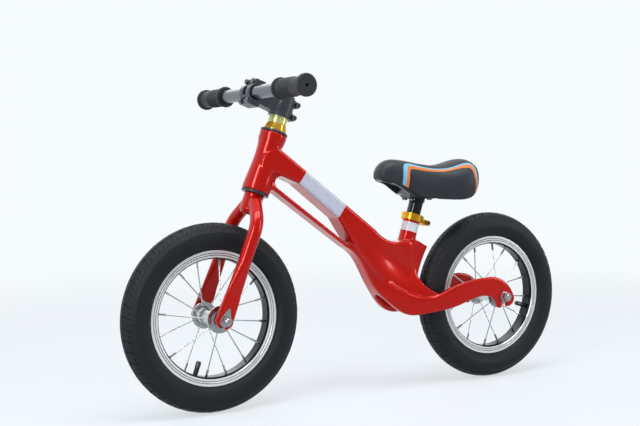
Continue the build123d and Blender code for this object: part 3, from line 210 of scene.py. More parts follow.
softbox("overhead_softbox", (0.1, 0.5, 2.4), width=2.4, height=1.0, watts=40)
softbox("left_softbox", (2.0, 1.2, 1.2), width=0.45, height=1.7, watts=24)
softbox("right_softbox", (-1.9, 1.5, 1.0), width=0.4, height=1.6, watts=14)
softbox("back_softbox", (-0.4, -2.1, 1.3), width=1.8, height=1.2, watts=8)
print("lamps:", len(bpy.data.lights))

# %% [markdown]
# The world is the studio's room, and it fills the shadows. What the camera sees of it is the pale wall.
# In reflections the wall stands behind the bike, and the rest of the room is dim,
# as it is behind a photographer. Dark room in the gloss is what keeps red paint deep and chrome lively.

# %% World
DIM_ROOM = 0.22
SHADOW_FILL = 0.34
ROOM_SIDE, WALL_SIDE = 0.25, -0.35
world = bpy.data.worlds.new("studio")
world.use_nodes = True
bpy.context.scene.world = world
tree = world.node_tree
ray = add(tree, "ShaderNodeLightPath").outputs
way = add(tree, "ShaderNodeTexCoord").outputs["Generated"]
sides = add(tree, "ShaderNodeSeparateXYZ", {"Vector": way})
behind = add(tree, "ShaderNodeMapRange",
             {"Value": sides.outputs["Y"], "From Min": ROOM_SIDE, "From Max": WALL_SIDE,
              "To Min": DIM_ROOM, "To Max": 1.0}, interpolation_type="SMOOTHSTEP")
fill = add(tree, "ShaderNodeBackground", {"Color": linear("#eef3fa"), "Strength": SHADOW_FILL})
wall = add(tree, "ShaderNodeBackground", {"Color": linear(BACKDROP), "Strength": 1.0})
room = add(tree, "ShaderNodeBackground",
           {"Color": linear(BACKDROP), "Strength": behind.outputs["Result"]})
shine = add(tree, "ShaderNodeMixShader",
            {0: ray["Is Glossy Ray"], 1: fill.outputs[0], 2: room.outputs[0]})
direct = add(tree, "ShaderNodeMath", {0: ray["Is Camera Ray"], 1: ray["Is Transmission Ray"]},
             operation="MAXIMUM")
look = add(tree, "ShaderNodeMixShader",
           {0: direct.outputs[0], 1: shine.outputs[0], 2: wall.outputs[0]})
tree.links.new(look.outputs["Shader"], tree.nodes["World Output"].inputs["Surface"])
print("world made of", len(tree.nodes), "nodes")

# %% [markdown]
# ## Red enamel on the frame and fork
#
# The frame is cast and the fork is welded steel, and both carry the same stoved red enamel.
# Stoved enamel is a deep red under a clear gloss coat, with the faint ripple that is called orange peel.
# Patterns have real sizes, so `per_mm` turns millimetres into the scale number that a texture wants.


# %% Helpers for patterns
def per_mm(size):
    """The texture scale at which one cell is this many millimetres."""
    return 1000.0 / size


def vary_colour(tree, shader, place, size_mm, dark, light):
    """Drifts the base colour between two close tones, as handling and dust leave it."""
    cloud = add(tree, "ShaderNodeTexNoise",
                {"Vector": place, "Scale": per_mm(size_mm), "Detail": 3.0})
    tones = add(tree, "ShaderNodeMix", {"Factor": cloud.outputs["Fac"]}, data_type="RGBA")
    tones.inputs["A"].default_value = linear(dark)
    tones.inputs["B"].default_value = linear(light)
    tree.links.new(tones.outputs["Result"], shader.inputs["Base Color"])
    return tones


def roughen(tree, shader, place, size_mm, detail, strength, depth_mm):
    """Raises a fine uneven relief of a given size, as peel, grit and moulded grain are."""
    grain = add(tree, "ShaderNodeTexNoise",
                {"Vector": place, "Scale": per_mm(size_mm), "Detail": detail})
    bump = add(tree, "ShaderNodeBump",
               {"Height": grain.outputs["Fac"], "Strength": strength, "Distance": depth_mm * MM})
    tree.links.new(bump.outputs["Normal"], shader.inputs["Normal"])


print("a 9 mm pattern has the scale", round(per_mm(9.0), 1))

# %% Red enamel
# The clear coat mirrors the lamps as bright streaks, and the red between them is deep with a slight glint.
# Real orange peel is a millimetre or two across. That is too fine to show, so it is drawn at 9 mm.
RED, DARK_RED, LIGHT_RED = "#bf1004", "#b80e03", "#c61305"
GLINT = 0.25


def red_enamel(name):
    """Gloss red stoved enamel, and the colour node that films can be laid over."""
    material, tree, shader, place = start_finish(
        name, RED, metallic=GLINT, roughness=0.3, specular_ior_level=0.1,
        coat_weight=1.0, coat_roughness=0.09, coat_ior=1.38)
    tones = vary_colour(tree, shader, place, 60.0, DARK_RED, LIGHT_RED)
    roughen(tree, shader, place, size_mm=9.0, detail=0.0, strength=0.02, depth_mm=0.3)
    return material, tree, shader, place, tones


fork_enamel, *_ = red_enamel("red_stoved_enamel_on_steel")
frame_enamel, tree, shader, place, tones = red_enamel("red_stoved_enamel_on_casting")
print("enamel made for the fork and the frame")

# %% [markdown]
# ## Two films on the frame
#
# A plain silver panel lies on each side of the upper rail, and a white band rings the seat tube.
# Both lie under the clear coat, so they share the enamel's gloss, and as plain colours they have no glint.
# They could be thin pieces of their own. They are cut from the frame's own coordinates instead,
# because a film has no thickness to see, and cut this way it can't lift off the casting.


# %% Helpers for films
def band_mask(tree, value, low, high, soft):
    """1 between two values, with edges of a given softness."""
    rise = add(tree, "ShaderNodeMapRange",
               {"Value": value, "From Min": low - soft, "From Max": low + soft})
    fall = add(tree, "ShaderNodeMapRange",
               {"Value": value, "From Min": high + soft, "From Max": high - soft})
    both = add(tree, "ShaderNodeMath", {0: rise.outputs["Result"], 1: fall.outputs["Result"]},
               operation="MULTIPLY")
    return both.outputs["Value"]


def lay_film(tree, tones, mask, hex_colour):
    """Lays a coloured film over whatever the base colour is so far."""
    film = add(tree, "ShaderNodeMix", {"Factor": mask, "A": tones.outputs["Result"]}, data_type="RGBA")
    film.inputs["B"].default_value = linear(hex_colour)
    return film


FILM_EDGE = 0.25 * MM
print("films have edges", 2 * FILM_EDGE / MM, "mm soft")

# %% Silver panel on each side of the upper rail
RAIL_LINE = Vector((-0.818, 0.0, -0.576))
PANEL_RUN = (-313.6 * MM, -219.2 * MM)
PANEL_SIDE = (18.0 * MM, 30.0 * MM)
along_rail = add(tree, "ShaderNodeVectorMath", {0: place, 1: RAIL_LINE}, operation="DOT_PRODUCT")
panel_run = band_mask(tree, along_rail.outputs["Value"], *PANEL_RUN, FILM_EDGE)
sides = add(tree, "ShaderNodeSeparateXYZ", {"Vector": place})
out_side = add(tree, "ShaderNodeMath", {0: sides.outputs["Y"]}, operation="ABSOLUTE")
panel_side = band_mask(tree, out_side.outputs["Value"], *PANEL_SIDE, FILM_EDGE)
panel = add(tree, "ShaderNodeMath", {0: panel_run, 1: panel_side}, operation="MULTIPLY")
tones = lay_film(tree, tones, panel.outputs["Value"], "#bdc1cf")
print("panel is", round((PANEL_RUN[1] - PANEL_RUN[0]) / MM, 1), "mm long")

# %% White band round the seat tube
SEAT_TOP = Vector((-111.4, 0.0, 301.3)) * MM
BAND_RUN = (-29.0 * MM, -13.0 * MM)
NEAR_TUBE = (-1.0, 18.5 * MM)
from_top = add(tree, "ShaderNodeVectorMath", {0: place, 1: SEAT_TOP}, operation="SUBTRACT")
down_tube = add(tree, "ShaderNodeVectorMath", {0: from_top.outputs["Vector"], 1: seat_line},
                operation="DOT_PRODUCT")
tube_run = band_mask(tree, down_tube.outputs["Value"], *BAND_RUN, FILM_EDGE)
round_tube = add(tree, "ShaderNodeVectorMath", {0: from_top.outputs["Vector"], 1: seat_line},
                 operation="CROSS_PRODUCT")
off_axis = add(tree, "ShaderNodeVectorMath", {0: round_tube.outputs["Vector"]}, operation="LENGTH")
near_tube = band_mask(tree, off_axis.outputs["Value"], *NEAR_TUBE, FILM_EDGE)
band = add(tree, "ShaderNodeMath", {0: tube_run, 1: near_tube}, operation="MULTIPLY")
tones = lay_film(tree, tones, band.outputs["Value"], "#dcdde2")
tree.links.new(tones.outputs["Result"], shader.inputs["Base Color"])
covered = add(tree, "ShaderNodeMath", {0: panel.outputs["Value"], 1: band.outputs["Value"]},
              operation="MAXIMUM")
glint = add(tree, "ShaderNodeMapRange",
            {"Value": covered.outputs["Value"], "To Min": GLINT, "To Max": 0.0})
tree.links.new(glint.outputs["Result"], shader.inputs["Metallic"])
print("band is", round((BAND_RUN[1] - BAND_RUN[0]) / MM, 1), "mm tall")

# %% [markdown]
# ## Helpers for pieces
#
# Operators act on whatever is selected, so one helper selects a single object.
# A second one copies a solid from the model with a mesh of its own, so that the model stays untouched.
# Imported solids are loose triangles, and the copy is merged before anything else happens to it.

# %% Select, copy and apply
MERGE_WITHIN = 0.01 * MM


def select_only(piece):
    """Makes one object the only selected and active one."""
    bpy.ops.object.select_all(action="DESELECT")
    piece.select_set(True)
    bpy.context.view_layer.objects.active = piece


def edit_all(piece):
    """Opens a piece in edit mode with every face selected."""
    select_only(piece)
    bpy.ops.object.mode_set(mode="EDIT")
    bpy.ops.mesh.select_all(action="SELECT")


def leave_edit():
    """Goes back to object mode."""
    bpy.ops.object.mode_set(mode="OBJECT")


def merged_copy(node_name, name):
    """Copies a solid of the model, merged and without its finish."""
    mesh = nodes[node_name].data.copy()
    mesh.name = name
    mesh.materials.clear()
    piece = bpy.data.objects.new(name, mesh)
    bpy.context.scene.collection.objects.link(piece)
    edit_all(piece)
    bpy.ops.mesh.customdata_custom_splitnormals_clear()
    bpy.ops.mesh.remove_doubles(threshold=MERGE_WITHIN)
    leave_edit()
    return piece


def apply_modifier(piece, kind, **settings):
    """Adds a modifier, sets it and applies it at once."""
    select_only(piece)
    modifier = piece.modifiers.new(kind.lower(), kind)
    for key, value in settings.items():
        setattr(modifier, key, value)
    bpy.ops.object.modifier_apply(modifier=modifier.name)


def stand_in(piece, body, node_name, material):
    """Finishes a piece, lets it ride on a body and puts it in place of a solid of the model."""
    piece.data.materials.clear()
    piece.data.materials.append(material)
    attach(piece, body)
    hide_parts(node_name)
    print(piece.name, "has", len(piece.data.polygons), "faces")


print("copies merge points within", MERGE_WITHIN / MM, "mm")

# %% [markdown]
# ## The cast frame and the welded fork
#
# A casting has no sharp inner corners: molten metal and the mould's draft round every edge and joint.
# The solid model meets its rails and tubes at crisp lines, so the copy is remeshed finely and relaxed.
# Bevels would need every edge picked by hand, and remeshing rounds all of them alike, as casting does.
# Where the stays leave the mast, the metal flows in one sweep, so those roots alone are relaxed further.

# %% Helpers that soften
RELAX = 0.5
FULLY_RELAXED = 0.4


def smooth_step(low, high, value):
    """Rises smoothly from 0 to 1 between two values."""
    t = min(max((value - low) / (high - low), 0.0), 1.0)
    return t * t * (3.0 - 2.0 * t)


def softened_copy(node_name, name, voxel_mm, rounds):
    """Copies a solid of the model and rounds every edge of the copy, as casting and forging do."""
    piece = merged_copy(node_name, name)
    apply_modifier(piece, "REMESH", mode="VOXEL", voxel_size=voxel_mm * MM)
    apply_modifier(piece, "SMOOTH", factor=RELAX, iterations=rounds)
    select_only(piece)
    bpy.ops.object.shade_smooth()
    return piece


def flow_together(piece, places, rounds):
    """Relaxes a piece only near some places on both sides, where one limb flows into the next."""
    group = piece.vertex_groups.new(name="flow")
    for vertex in piece.data.vertices:
        x, y, z = vertex.co / MM
        share = min(hypot(x - px, abs(y) - py, z - pz) / reach for px, py, pz, reach in places)
        if share < 1.0:
            group.add([vertex.index], 1.0 - smooth_step(FULLY_RELAXED, 1.0, share), "REPLACE")
    apply_modifier(piece, "SMOOTH", factor=RELAX, iterations=rounds, vertex_group="flow")
    piece.vertex_groups.clear()


print("each round moves a point", RELAX, "of the way to its neighbours' middle")

# %% Cast frame
# Each root is a point in millimetres, on both sides of the bike, and how far the relaxing reaches from it.
STAY_ROOTS = [(-98, 21, 204, 24), (-44, 23, 190, 18), (-64, 32, 175, 18), (-92, 38, 166, 18)]
cast_frame = softened_copy("frame", "cast_frame", voxel_mm=1.5, rounds=8)
flow_together(cast_frame, STAY_ROOTS, rounds=30)
print("roots relaxed on each side:", len(STAY_ROOTS))

# %% [markdown]
# Light on the mast shows that its sides aren't flat: one soft hollow runs down each of them.
# By hand it would be pressed in with a sculpt brush.
# A bell curve does the same in code, deepest in the middle and fading out all round.

# %% Hollow in each side of the mast, in millimetres
HOLLOW_MIDDLE = (-64.0, 222.0)
HOLLOW_RUN = (-0.777, -0.631)
HOLLOW_LENGTH, HOLLOW_WIDTH, HOLLOW_DEPTH = 42.0, 19.0, 3.8
MAST_HALF_WIDTH = 22.5
for vertex in cast_frame.data.vertices:
    x, y, z = vertex.co / MM
    off_x, off_z = x - HOLLOW_MIDDLE[0], z - HOLLOW_MIDDLE[1]
    along = (off_x * HOLLOW_RUN[0] + off_z * HOLLOW_RUN[1]) / HOLLOW_LENGTH
    across = (off_z * HOLLOW_RUN[0] - off_x * HOLLOW_RUN[1]) / HOLLOW_WIDTH
    vertex.co.y -= y / MAST_HALF_WIDTH * HOLLOW_DEPTH * exp(-along ** 2 - across ** 2) * MM
stand_in(cast_frame, "frame", "frame", frame_enamel)

# %% Welded fork
welded_fork = softened_copy("fork", "welded_fork", voxel_mm=1.1, rounds=9)
stand_in(welded_fork, "steering", "fork", fork_enamel)

# %% [markdown]
# ## Black, grey and gold metal
#
# The stem, its face plate and the headset cups are satin black anodised alloy, and the bar is anodised grey.
# The seat post is tube painted gloss black. The seat clamp and the cone under the stem are gold anodised.
# Solids whose shape is right already keep it and only get a finish.
# The stem and its plate are forged, so they are softened as the frame was.


# %% Helpers for metal
def vary_roughness(tree, shader, place, size_mm, low, high):
    """Lets the gloss wander between two values."""
    cloud = add(tree, "ShaderNodeTexNoise",
                {"Vector": place, "Scale": per_mm(size_mm), "Detail": 4.0})
    spread = add(tree, "ShaderNodeMapRange",
                 {"Value": cloud.outputs["Fac"], "To Min": low, "To Max": high})
    tree.links.new(spread.outputs["Result"], shader.inputs["Roughness"])


def dress(material, *names):
    """Gives a finish to solids of the model."""
    for name in names:
        mesh = nodes[name].data
        mesh.materials.clear()
        mesh.materials.append(material)
    print(material.name, "dresses", len(names), "solids")


print("solids to dress or to stand in for:", len(nodes))

# %% Satin black alloy
# Blasted and anodised alloy scatters light, so it shows a broad dull sheen and no mirror image.
# Blasting leaves grit of about a tenth of a millimetre. It is drawn at 0.8 mm, to show close up.
satin_black, tree, shader, place = start_finish("satin_black_anodised_alloy", "#383b41", roughness=0.32)
vary_roughness(tree, shader, place, 9.0, 0.27, 0.37)
roughen(tree, shader, place, size_mm=0.8, detail=2.0, strength=0.08, depth_mm=0.1)
dress(satin_black, "top_cap", "headset_upper_cup", "headset_lower_cup", "headset_top_cover", "crown_race")
forged_stem = softened_copy("stem", "forged_stem", voxel_mm=0.8, rounds=4)
stand_in(forged_stem, "steering", "stem", satin_black)
forged_plate = softened_copy("stem_faceplate", "forged_faceplate", voxel_mm=0.7, rounds=3)
stand_in(forged_plate, "steering", "stem_faceplate", satin_black)

# %% Seat post and bar
# Gloss paint on smooth tube is black with one sharp pale streak from each lamp.
gloss_black, tree, shader, place = start_finish(
    "gloss_black_painted_tube", "#0e0f11", roughness=0.4, specular_ior_level=0.1,
    coat_weight=1.0, coat_roughness=0.03)
vary_roughness(tree, shader, place, 14.0, 0.36, 0.46)
dress(gloss_black, "seat_post")
# Polished and then anodised alloy mirrors the room softly, pale along its top and dark below.
bar_grey, tree, shader, place = start_finish("dark_grey_anodised_bar", "#757980", metallic=1.0,
                                             roughness=0.25)
vary_roughness(tree, shader, place, 14.0, 0.22, 0.3)
dress(bar_grey, "handlebar")

# %% Gold alloy and its bolt
# Gold dye in the anodised skin tints every highlight, so even the brightest places stay yellow.
# The fine grit under the dye is drawn at 0.7 mm, coarser than it is, to show close up.
gold, tree, shader, place = start_finish("gold_anodised_alloy", "#f0b429", metallic=0.8, roughness=0.28)
vary_colour(tree, shader, place, 8.0, "#eaa922", "#f4bd38")
roughen(tree, shader, place, size_mm=0.7, detail=2.0, strength=0.04, depth_mm=0.1)
dress(gold, "seat_clamp")
# Yellow passivated zinc on a bolt is patchy, from straw to brown.
bronze, tree, shader, place = start_finish("yellow_passivated_bolt_steel", "#a8762c", metallic=1.0,
                                           roughness=0.3)
vary_colour(tree, shader, place, 3.0, "#8f6424", "#b98838")
dress(bronze, "seat_clamp_bolt", "seat_clamp_nut")

# %% Cone under the stem
# The same gold, smoother.
# The pale lemon band round its upper end is a painted highlight, where the cone's top catches the light.
PAINTED_HIGHLIGHT_BAND = (117.0 * MM, 140.0 * MM)
PAINTED_HIGHLIGHT_EDGE = 0.3 * MM
cone_gold, tree, shader, place = start_finish("gold_cone_with_painted_highlight", "#d9a93a", metallic=0.6,
                                              roughness=0.2)
tones = vary_colour(tree, shader, place, 8.0, "#cf9c2e", "#e0b54c")
up_steerer = add(tree, "ShaderNodeVectorMath", {0: place, 1: steer_foot}, operation="SUBTRACT")
height = add(tree, "ShaderNodeVectorMath", {0: up_steerer.outputs["Vector"], 1: steer_line},
             operation="DOT_PRODUCT")
# The pale band is painted highlight, fixed to the cone's upper end.
pale = band_mask(tree, height.outputs["Value"], *PAINTED_HIGHLIGHT_BAND, PAINTED_HIGHLIGHT_EDGE)
tones = lay_film(tree, tones, pale, "#eef4a6")
tree.links.new(tones.outputs["Result"], shader.inputs["Base Color"])
dress(cone_gold, "spacer")

# %% [markdown]
# ## Plated and bare steel
#
# Nuts, axles and hubs are zinc plated, and spokes are chromed wire.
# Plating is thin and never quite even, so its colour and its gloss drift a little from place to place.
# One flat value would look like grey plastic.

# %% Steel finishes
WHEELS = ("front", "rear")
ZINC_PIECES = ("axle", "axle_nuts", "axle_washers", "cones", "lock_nuts", "hub_shell")
# Bright zinc is pale and faintly clouded, so its highlights are soft at the edge.
zinc, tree, shader, place = start_finish("bright_zinc_plated_steel", "#d3d6d8", metallic=1.0, roughness=0.26)
vary_colour(tree, shader, place, 6.0, "#c4c8ca", "#dcdfe0")
vary_roughness(tree, shader, place, 5.0, 0.2, 0.32)
dress(zinc, *[f"{wheel}_{piece}" for wheel in WHEELS for piece in ZINC_PIECES])
# Chrome on drawn wire mirrors the room, so a spoke runs from light to dark along its length.
chrome, tree, shader, place = start_finish("chromed_spoke_wire", "#dcdfe1", metallic=1.0, roughness=0.2)
vary_roughness(tree, shader, place, 10.0, 0.16, 0.26)
dress(chrome, *[f"{wheel}_{piece}" for wheel in WHEELS for piece in ("spokes", "nipples")])
# Dark plated screws show as small grey heads with a hard glint.
black_steel, tree, shader, place = start_finish("dark_plated_screw_steel", "#8d9094", metallic=1.0,
                                                roughness=0.24)
vary_roughness(tree, shader, place, 3.0, 0.2, 0.34)
dress(black_steel, "stem_faceplate_bolts", "stem_clamp_bolts", "top_cap_bolt", "star_nut", "saddle_screws")
# Ground and hardened balls are even and shiny, a cool grey inside their covers.
bearing, tree, shader, place = start_finish("hardened_bearing_steel", "#9a9da1", metallic=1.0, roughness=0.2)
vary_roughness(tree, shader, place, 2.0, 0.14, 0.28)
dress(bearing, "headset_lower_ball_ring", "headset_upper_ball_ring",
      "front_hub_ball_rings", "rear_hub_ball_rings")

# %% [markdown]
# ## Rims
#
# Each rim is extruded alloy, black inside, with a machined bright track where the tyre meets it.
# That track is painted near white, so part of its brightness is painted reflection of the pale studio.
# The track is a ring about the axle, so it is found by the distance from the axle.
# Turning leaves rings too fine to draw, so the shader stretches highlights towards the axle, as they do.

# %% Rims
# Bare turned metal gives a bright ring, and the black inside it sinks back.
# The ring's near-white colour is partly painted reflection of the pale studio, and two thin dark lines are
# drawn round it.
RIM_TRACK = (96.6 * MM, 120.0 * MM)
DARK_LINES = (103.4, 100.2)
LINE_HALF_WIDTH = 0.5
RIM_EDGE = 0.2 * MM


def rim_finish(name, axle):
    """Black anodised alloy with a turned ring at the tyre's edge, near white partly as painted reflection,
    cut by two dark lines.
    """
    material, tree, shader, place = start_finish(name, "#1d1f22", metallic=0.4, roughness=0.2,
                                                 anisotropic=0.5)
    hub = (axle.x, 0.0, axle.z)
    flat = add(tree, "ShaderNodeVectorMath", {0: place, 1: (1.0, 0.0, 1.0)}, operation="MULTIPLY")
    spot = add(tree, "ShaderNodeVectorMath", {0: flat.outputs["Vector"], 1: hub}, operation="DISTANCE")
    out = spot.outputs["Value"]
    tones = add(tree, "ShaderNodeMix", {"Factor": band_mask(tree, out, *RIM_TRACK, RIM_EDGE)},
                data_type="RGBA")
    tones.inputs["A"].default_value = linear("#15171a")
    # Near white: the bare turned alloy, brightened with painted reflection of the pale studio.
    tones.inputs["B"].default_value = linear("#f6f7f8")
    for line in DARK_LINES:
        low, high = (line - LINE_HALF_WIDTH) * MM, (line + LINE_HALF_WIDTH) * MM
        tones = lay_film(tree, tones, band_mask(tree, out, low, high, RIM_EDGE), "#1a1c1e")
    tree.links.new(tones.outputs["Result"], shader.inputs["Base Color"])
    outward = add(tree, "ShaderNodeVectorMath", {0: flat.outputs["Vector"], 1: hub}, operation="SUBTRACT")
    spoke_way = add(tree, "ShaderNodeVectorMath", {0: outward.outputs["Vector"]}, operation="NORMALIZE")
    tree.links.new(spoke_way.outputs["Vector"], shader.inputs["Tangent"])
    return material


dress(rim_finish("front_rim_machined_alloy", front_axle), "front_rim")
dress(rim_finish("rear_rim_machined_alloy", rear_axle), "rear_rim")

# %% [markdown]
# ## Rubber and plastic
#
# The grips are moulded black rubber with a dry bloom.
# The saddle pan and the valve caps are moulded plastic, glossy but never quite smooth.
# All of it is near black, so it is the width of the highlights that tells the eye which is which.

# %% Rubber and plastic finishes
# Moulded rubber is dull, so light fades across it without an edge. Its fine grain is drawn at 1.2 mm.
grip_rubber, tree, shader, place = start_finish("moulded_grip_rubber", "#24272b", roughness=0.55)
vary_colour(tree, shader, place, 12.0, "#212428", "#2a2d31")
roughen(tree, shader, place, size_mm=1.2, detail=3.0, strength=0.3, depth_mm=0.2)
dress(grip_rubber, "left_grip", "right_grip")
# Butyl is plain dark rubber. Only the valve stems show, as small dull posts inside the rims.
tube_rubber, tree, shader, place = start_finish("butyl_tube_rubber", "#1b1c1e", roughness=0.5)
vary_colour(tree, shader, place, 10.0, "#18191b", "#222326")
dress(tube_rubber, *[f"{wheel}_{piece}" for wheel in WHEELS
                     for piece in ("inner_tube", "rim_tape", "valve_stem")])
# Plastic keeps the polish of its mould: a clear highlight that wavers. Its texture is drawn at 0.9 mm.
pan_plastic, tree, shader, place = start_finish("moulded_black_plastic", "#26282c", roughness=0.24,
                                                coat_weight=1.0, coat_roughness=0.08)
vary_colour(tree, shader, place, 18.0, "#232529", "#2b2e33")
roughen(tree, shader, place, size_mm=0.9, detail=2.0, strength=0.06, depth_mm=0.1)
dress(pan_plastic, "saddle_base", "front_valve_cap", "rear_valve_cap")

# %% [markdown]
# ## Tyres
#
# Each tyre is a moulded rubber shell that stands on two beads in the rim.
# A spun section gives the shell, with three fine raised rings on each sidewall, as moulds leave them.
# The tread is one lug for each shoulder and one for each half of the crown.
# Array repeats each of them in a flat row, and the rows are then wrapped round the shell.
# The shoulder lug is a small grid, swept back and slit, so its grooves hook as the real ones do.
# Only the front tyre is built. The rear one is a copy of it, moved from axle to axle.

# %% The tyre's section, in millimetres and degrees from the crown
SECTION_CENTRE = 127.4
CARCASS = 22.7
SIDEWALL = 23.5
SWELL_FROM, SWELL_TO = 46.0, 60.0
RINGS_AT = (68.0, 118.0, 124.0)
RING_HEIGHT, RING_SPREAD = 0.4, 1.6
TYRE_WALL = 2.4
TURN_STEP = 2.5
BEAD_TOP = 110.4
BEAD = [(108.6, 11.4), (107.6, 10.9), (103.2, 10.9), (102.6, 9.6), (103.2, 8.4), (107.0, 8.4)]


def section_radius(turn):
    """The tyre's half thickness at an angle from its crown, with its moulded rings."""
    swell = smooth_step(SWELL_FROM, SWELL_TO, turn)
    rings = sum(RING_HEIGHT * exp(-((turn - at) / RING_SPREAD) ** 2) for at in RINGS_AT)
    return CARCASS + (SIDEWALL - CARCASS) * swell + rings


def tyre_section():
    """The closed section of the shell, as pairs of distance from the axle and distance sideways."""
    outer = []
    inner = []
    turn = 0.0
    while True:
        radius = section_radius(turn)
        out = SECTION_CENTRE + radius * cos(radians(turn))
        if out < BEAD_TOP:
            break
        outer.append((out, radius * sin(radians(turn))))
        inner.append((SECTION_CENTRE + (CARCASS - TYRE_WALL) * cos(radians(turn)),
                      (CARCASS - TYRE_WALL) * sin(radians(turn))))
        turn += TURN_STEP
    half = outer + BEAD + inner[::-1]
    mirrored = [(out, -side) for out, side in half[1:-1]][::-1]
    return [(out * MM, side * MM) for out, side in half + mirrored]


print("tyre section has", len(tyre_section()), "points")

# %% Spin the shell
SPIN_STEPS = 144
SEAM_MERGE = 0.001 * MM


def spun_ring(name, section, centre):
    """Spins a closed section once round an axle that runs across the bike."""
    bpy.ops.object.select_all(action="DESELECT")
    bpy.ops.mesh.primitive_circle_add(vertices=len(section), radius=0.01)
    ring = bpy.context.object
    ring.name = name
    ring.data.name = name
    for vertex, (out, side) in zip(ring.data.vertices, section):
        vertex.co = (centre.x, side, centre.z + out)
    edit_all(ring)
    bpy.ops.mesh.spin(steps=SPIN_STEPS, angle=2 * pi, center=centre, axis=(0, 1, 0))
    bpy.ops.mesh.select_all(action="SELECT")
    bpy.ops.mesh.remove_doubles(threshold=SEAM_MERGE)
    bpy.ops.mesh.normals_make_consistent(inside=False)
    leave_edit()
    return ring


front_tyre = spun_ring("front_tread_tyre", tyre_section(), front_axle)
print("shell has", len(front_tyre.data.polygons), "faces")

# %% One tread lug, flat, in millimetres
TREAD_HEIGHT = 1.4
LUG_FOOT = 0.6
LUG_BEVEL = 0.35
LUG_ROWS = 9
LUG_COUNT = 51
LUG_PITCH = 2 * pi * (SECTION_CENTRE + CARCASS) / LUG_COUNT
GROOVE, CROWN_GROOVE = 1.9, 1.5
SIPE, SIPE_FROM = 1.0, 13.9
SWEEP_REACH = 21.0


def slit(lug):
    """Cuts the middle column of a three-column lug away towards its outer end."""
    edit_all(lug)
    bpy.ops.mesh.select_mode(type="FACE")
    bpy.ops.mesh.select_all(action="DESELECT")
    leave_edit()
    for face in lug.data.polygons:
        corners = [lug.data.vertices[i].co for i in face.vertices]
        face.select = face.index % 3 == 1 and all(abs(c.y) > SIPE_FROM for c in corners)
    bpy.ops.object.mode_set(mode="EDIT")
    bpy.ops.mesh.delete(type="FACE")
    bpy.ops.mesh.select_mode(type="VERT")
    leave_edit()


def tread_lug(columns, low, high, sweep):
    """One lug: a grid swept back as it leaves the crown, slit if it has three columns, given thickness."""
    bpy.ops.object.select_all(action="DESELECT")
    bpy.ops.mesh.primitive_grid_add(x_subdivisions=len(columns) - 1, y_subdivisions=LUG_ROWS, size=1.0,
                                    location=(0, 0, 0))
    lug = bpy.context.object
    for vertex in lug.data.vertices:
        column = round((vertex.co.x + 0.5) * (len(columns) - 1))
        across = low + (vertex.co.y + 0.5) * (high - low)
        vertex.co = (columns[column] + sweep * (abs(across) / SWEEP_REACH) ** 2, across, TREAD_HEIGHT)
    if len(columns) == 4:
        slit(lug)
    apply_modifier(lug, "SOLIDIFY", thickness=TREAD_HEIGHT + LUG_FOOT, offset=-1.0)
    apply_modifier(lug, "BEVEL", width=LUG_BEVEL, segments=1, limit_method="ANGLE", angle_limit=radians(50))
    return lug


print("tread lug pitch", round(LUG_PITCH, 2), "mm")

# %% Wrap the lugs round the front tyre
LUG_END = LUG_PITCH - GROOVE
SHOULDER_LUG = ([0.0, (LUG_END - SIPE) / 2, (LUG_END + SIPE) / 2, LUG_END], 6.8, 25.0, 7.0)
CROWN_LUG = ([0.0, LUG_PITCH - CROWN_GROOVE], 0.0, 5.4, 40.0)
SHOULDER_FROM, SHOULDER_TO = 15.0, 25.5
SHOULDER_LOSS = 0.75
SINK = 0.1


def wrap_round(row, axle, half_step):
    """Repeats a flat lug along the tyre and wraps the row round it, lower towards the sidewall."""
    apply_modifier(row, "ARRAY", count=LUG_COUNT, use_relative_offset=False, use_constant_offset=True,
                   constant_offset_displace=(LUG_PITCH, 0, 0))
    for vertex in row.data.vertices:
        along, across, height = vertex.co
        lean = across / CARCASS
        loss = smooth_step(SHOULDER_FROM, SHOULDER_TO, abs(across)) * SHOULDER_LOSS
        radius = CARCASS + height * (1.0 - loss) - SINK
        out = SECTION_CENTRE + radius * cos(lean)
        angle = (along + LUG_PITCH * half_step / 2) / (SECTION_CENTRE + CARCASS)
        vertex.co = (axle.x + out * sin(angle) * MM, radius * sin(lean) * MM, axle.z + out * cos(angle) * MM)
    return row


rows = []
for columns, low, high, sweep in (SHOULDER_LUG, CROWN_LUG):
    rows.append(wrap_round(tread_lug(columns, low, high, sweep), front_axle, 0))
    rows.append(wrap_round(tread_lug(columns, -high, -low, sweep), front_axle, 1))
select_only(front_tyre)
for row in rows:
    row.select_set(True)
bpy.ops.object.join()
edit_all(front_tyre)
bpy.ops.mesh.normals_make_consistent(inside=False)
leave_edit()
bpy.ops.object.shade_smooth_by_angle(angle=radians(35))
print("front tyre has", len(front_tyre.data.polygons), "faces")

# %% Tyre rubber, and the copied rear tyre
# Carbon-black rubber is dull and near black, with a faint grey where its skin is worn and dusty.
# The skin's grain is well under a millimetre. It is drawn at 1.5 mm, to show close up.
tyre_rubber, tree, shader, place = start_finish("moulded_tyre_rubber", "#1a1d20", roughness=0.55,
                                                specular_ior_level=0.3)
vary_colour(tree, shader, place, 25.0, "#171a1d", "#1e2226")
roughen(tree, shader, place, size_mm=1.5, detail=3.0, strength=0.15, depth_mm=0.2)
rear_tyre = bpy.data.objects.new("rear_tread_tyre", front_tyre.data.copy())
rear_tyre.data.name = rear_tyre.name
rear_tyre.data.transform(Matrix.Translation(rear_axle - front_axle))
bpy.context.scene.collection.objects.link(rear_tyre)
stand_in(front_tyre, "front_wheel", "front_tyre", tyre_rubber)
stand_in(rear_tyre, "rear_wheel", "rear_tyre", tyre_rubber)

# %% [markdown]
# ## The saddle
#
# The saddle is foam on a plastic pan, covered in coated fabric with two coloured bands on each side.
# A foam pad is fuller than the solid that stands for it, so it is inflated a little with Cloth.
# Its underside is held, as the pan holds it, and no point may move further than a millimetre.
# The seams are pressed in afterwards, because remeshing would erase them.

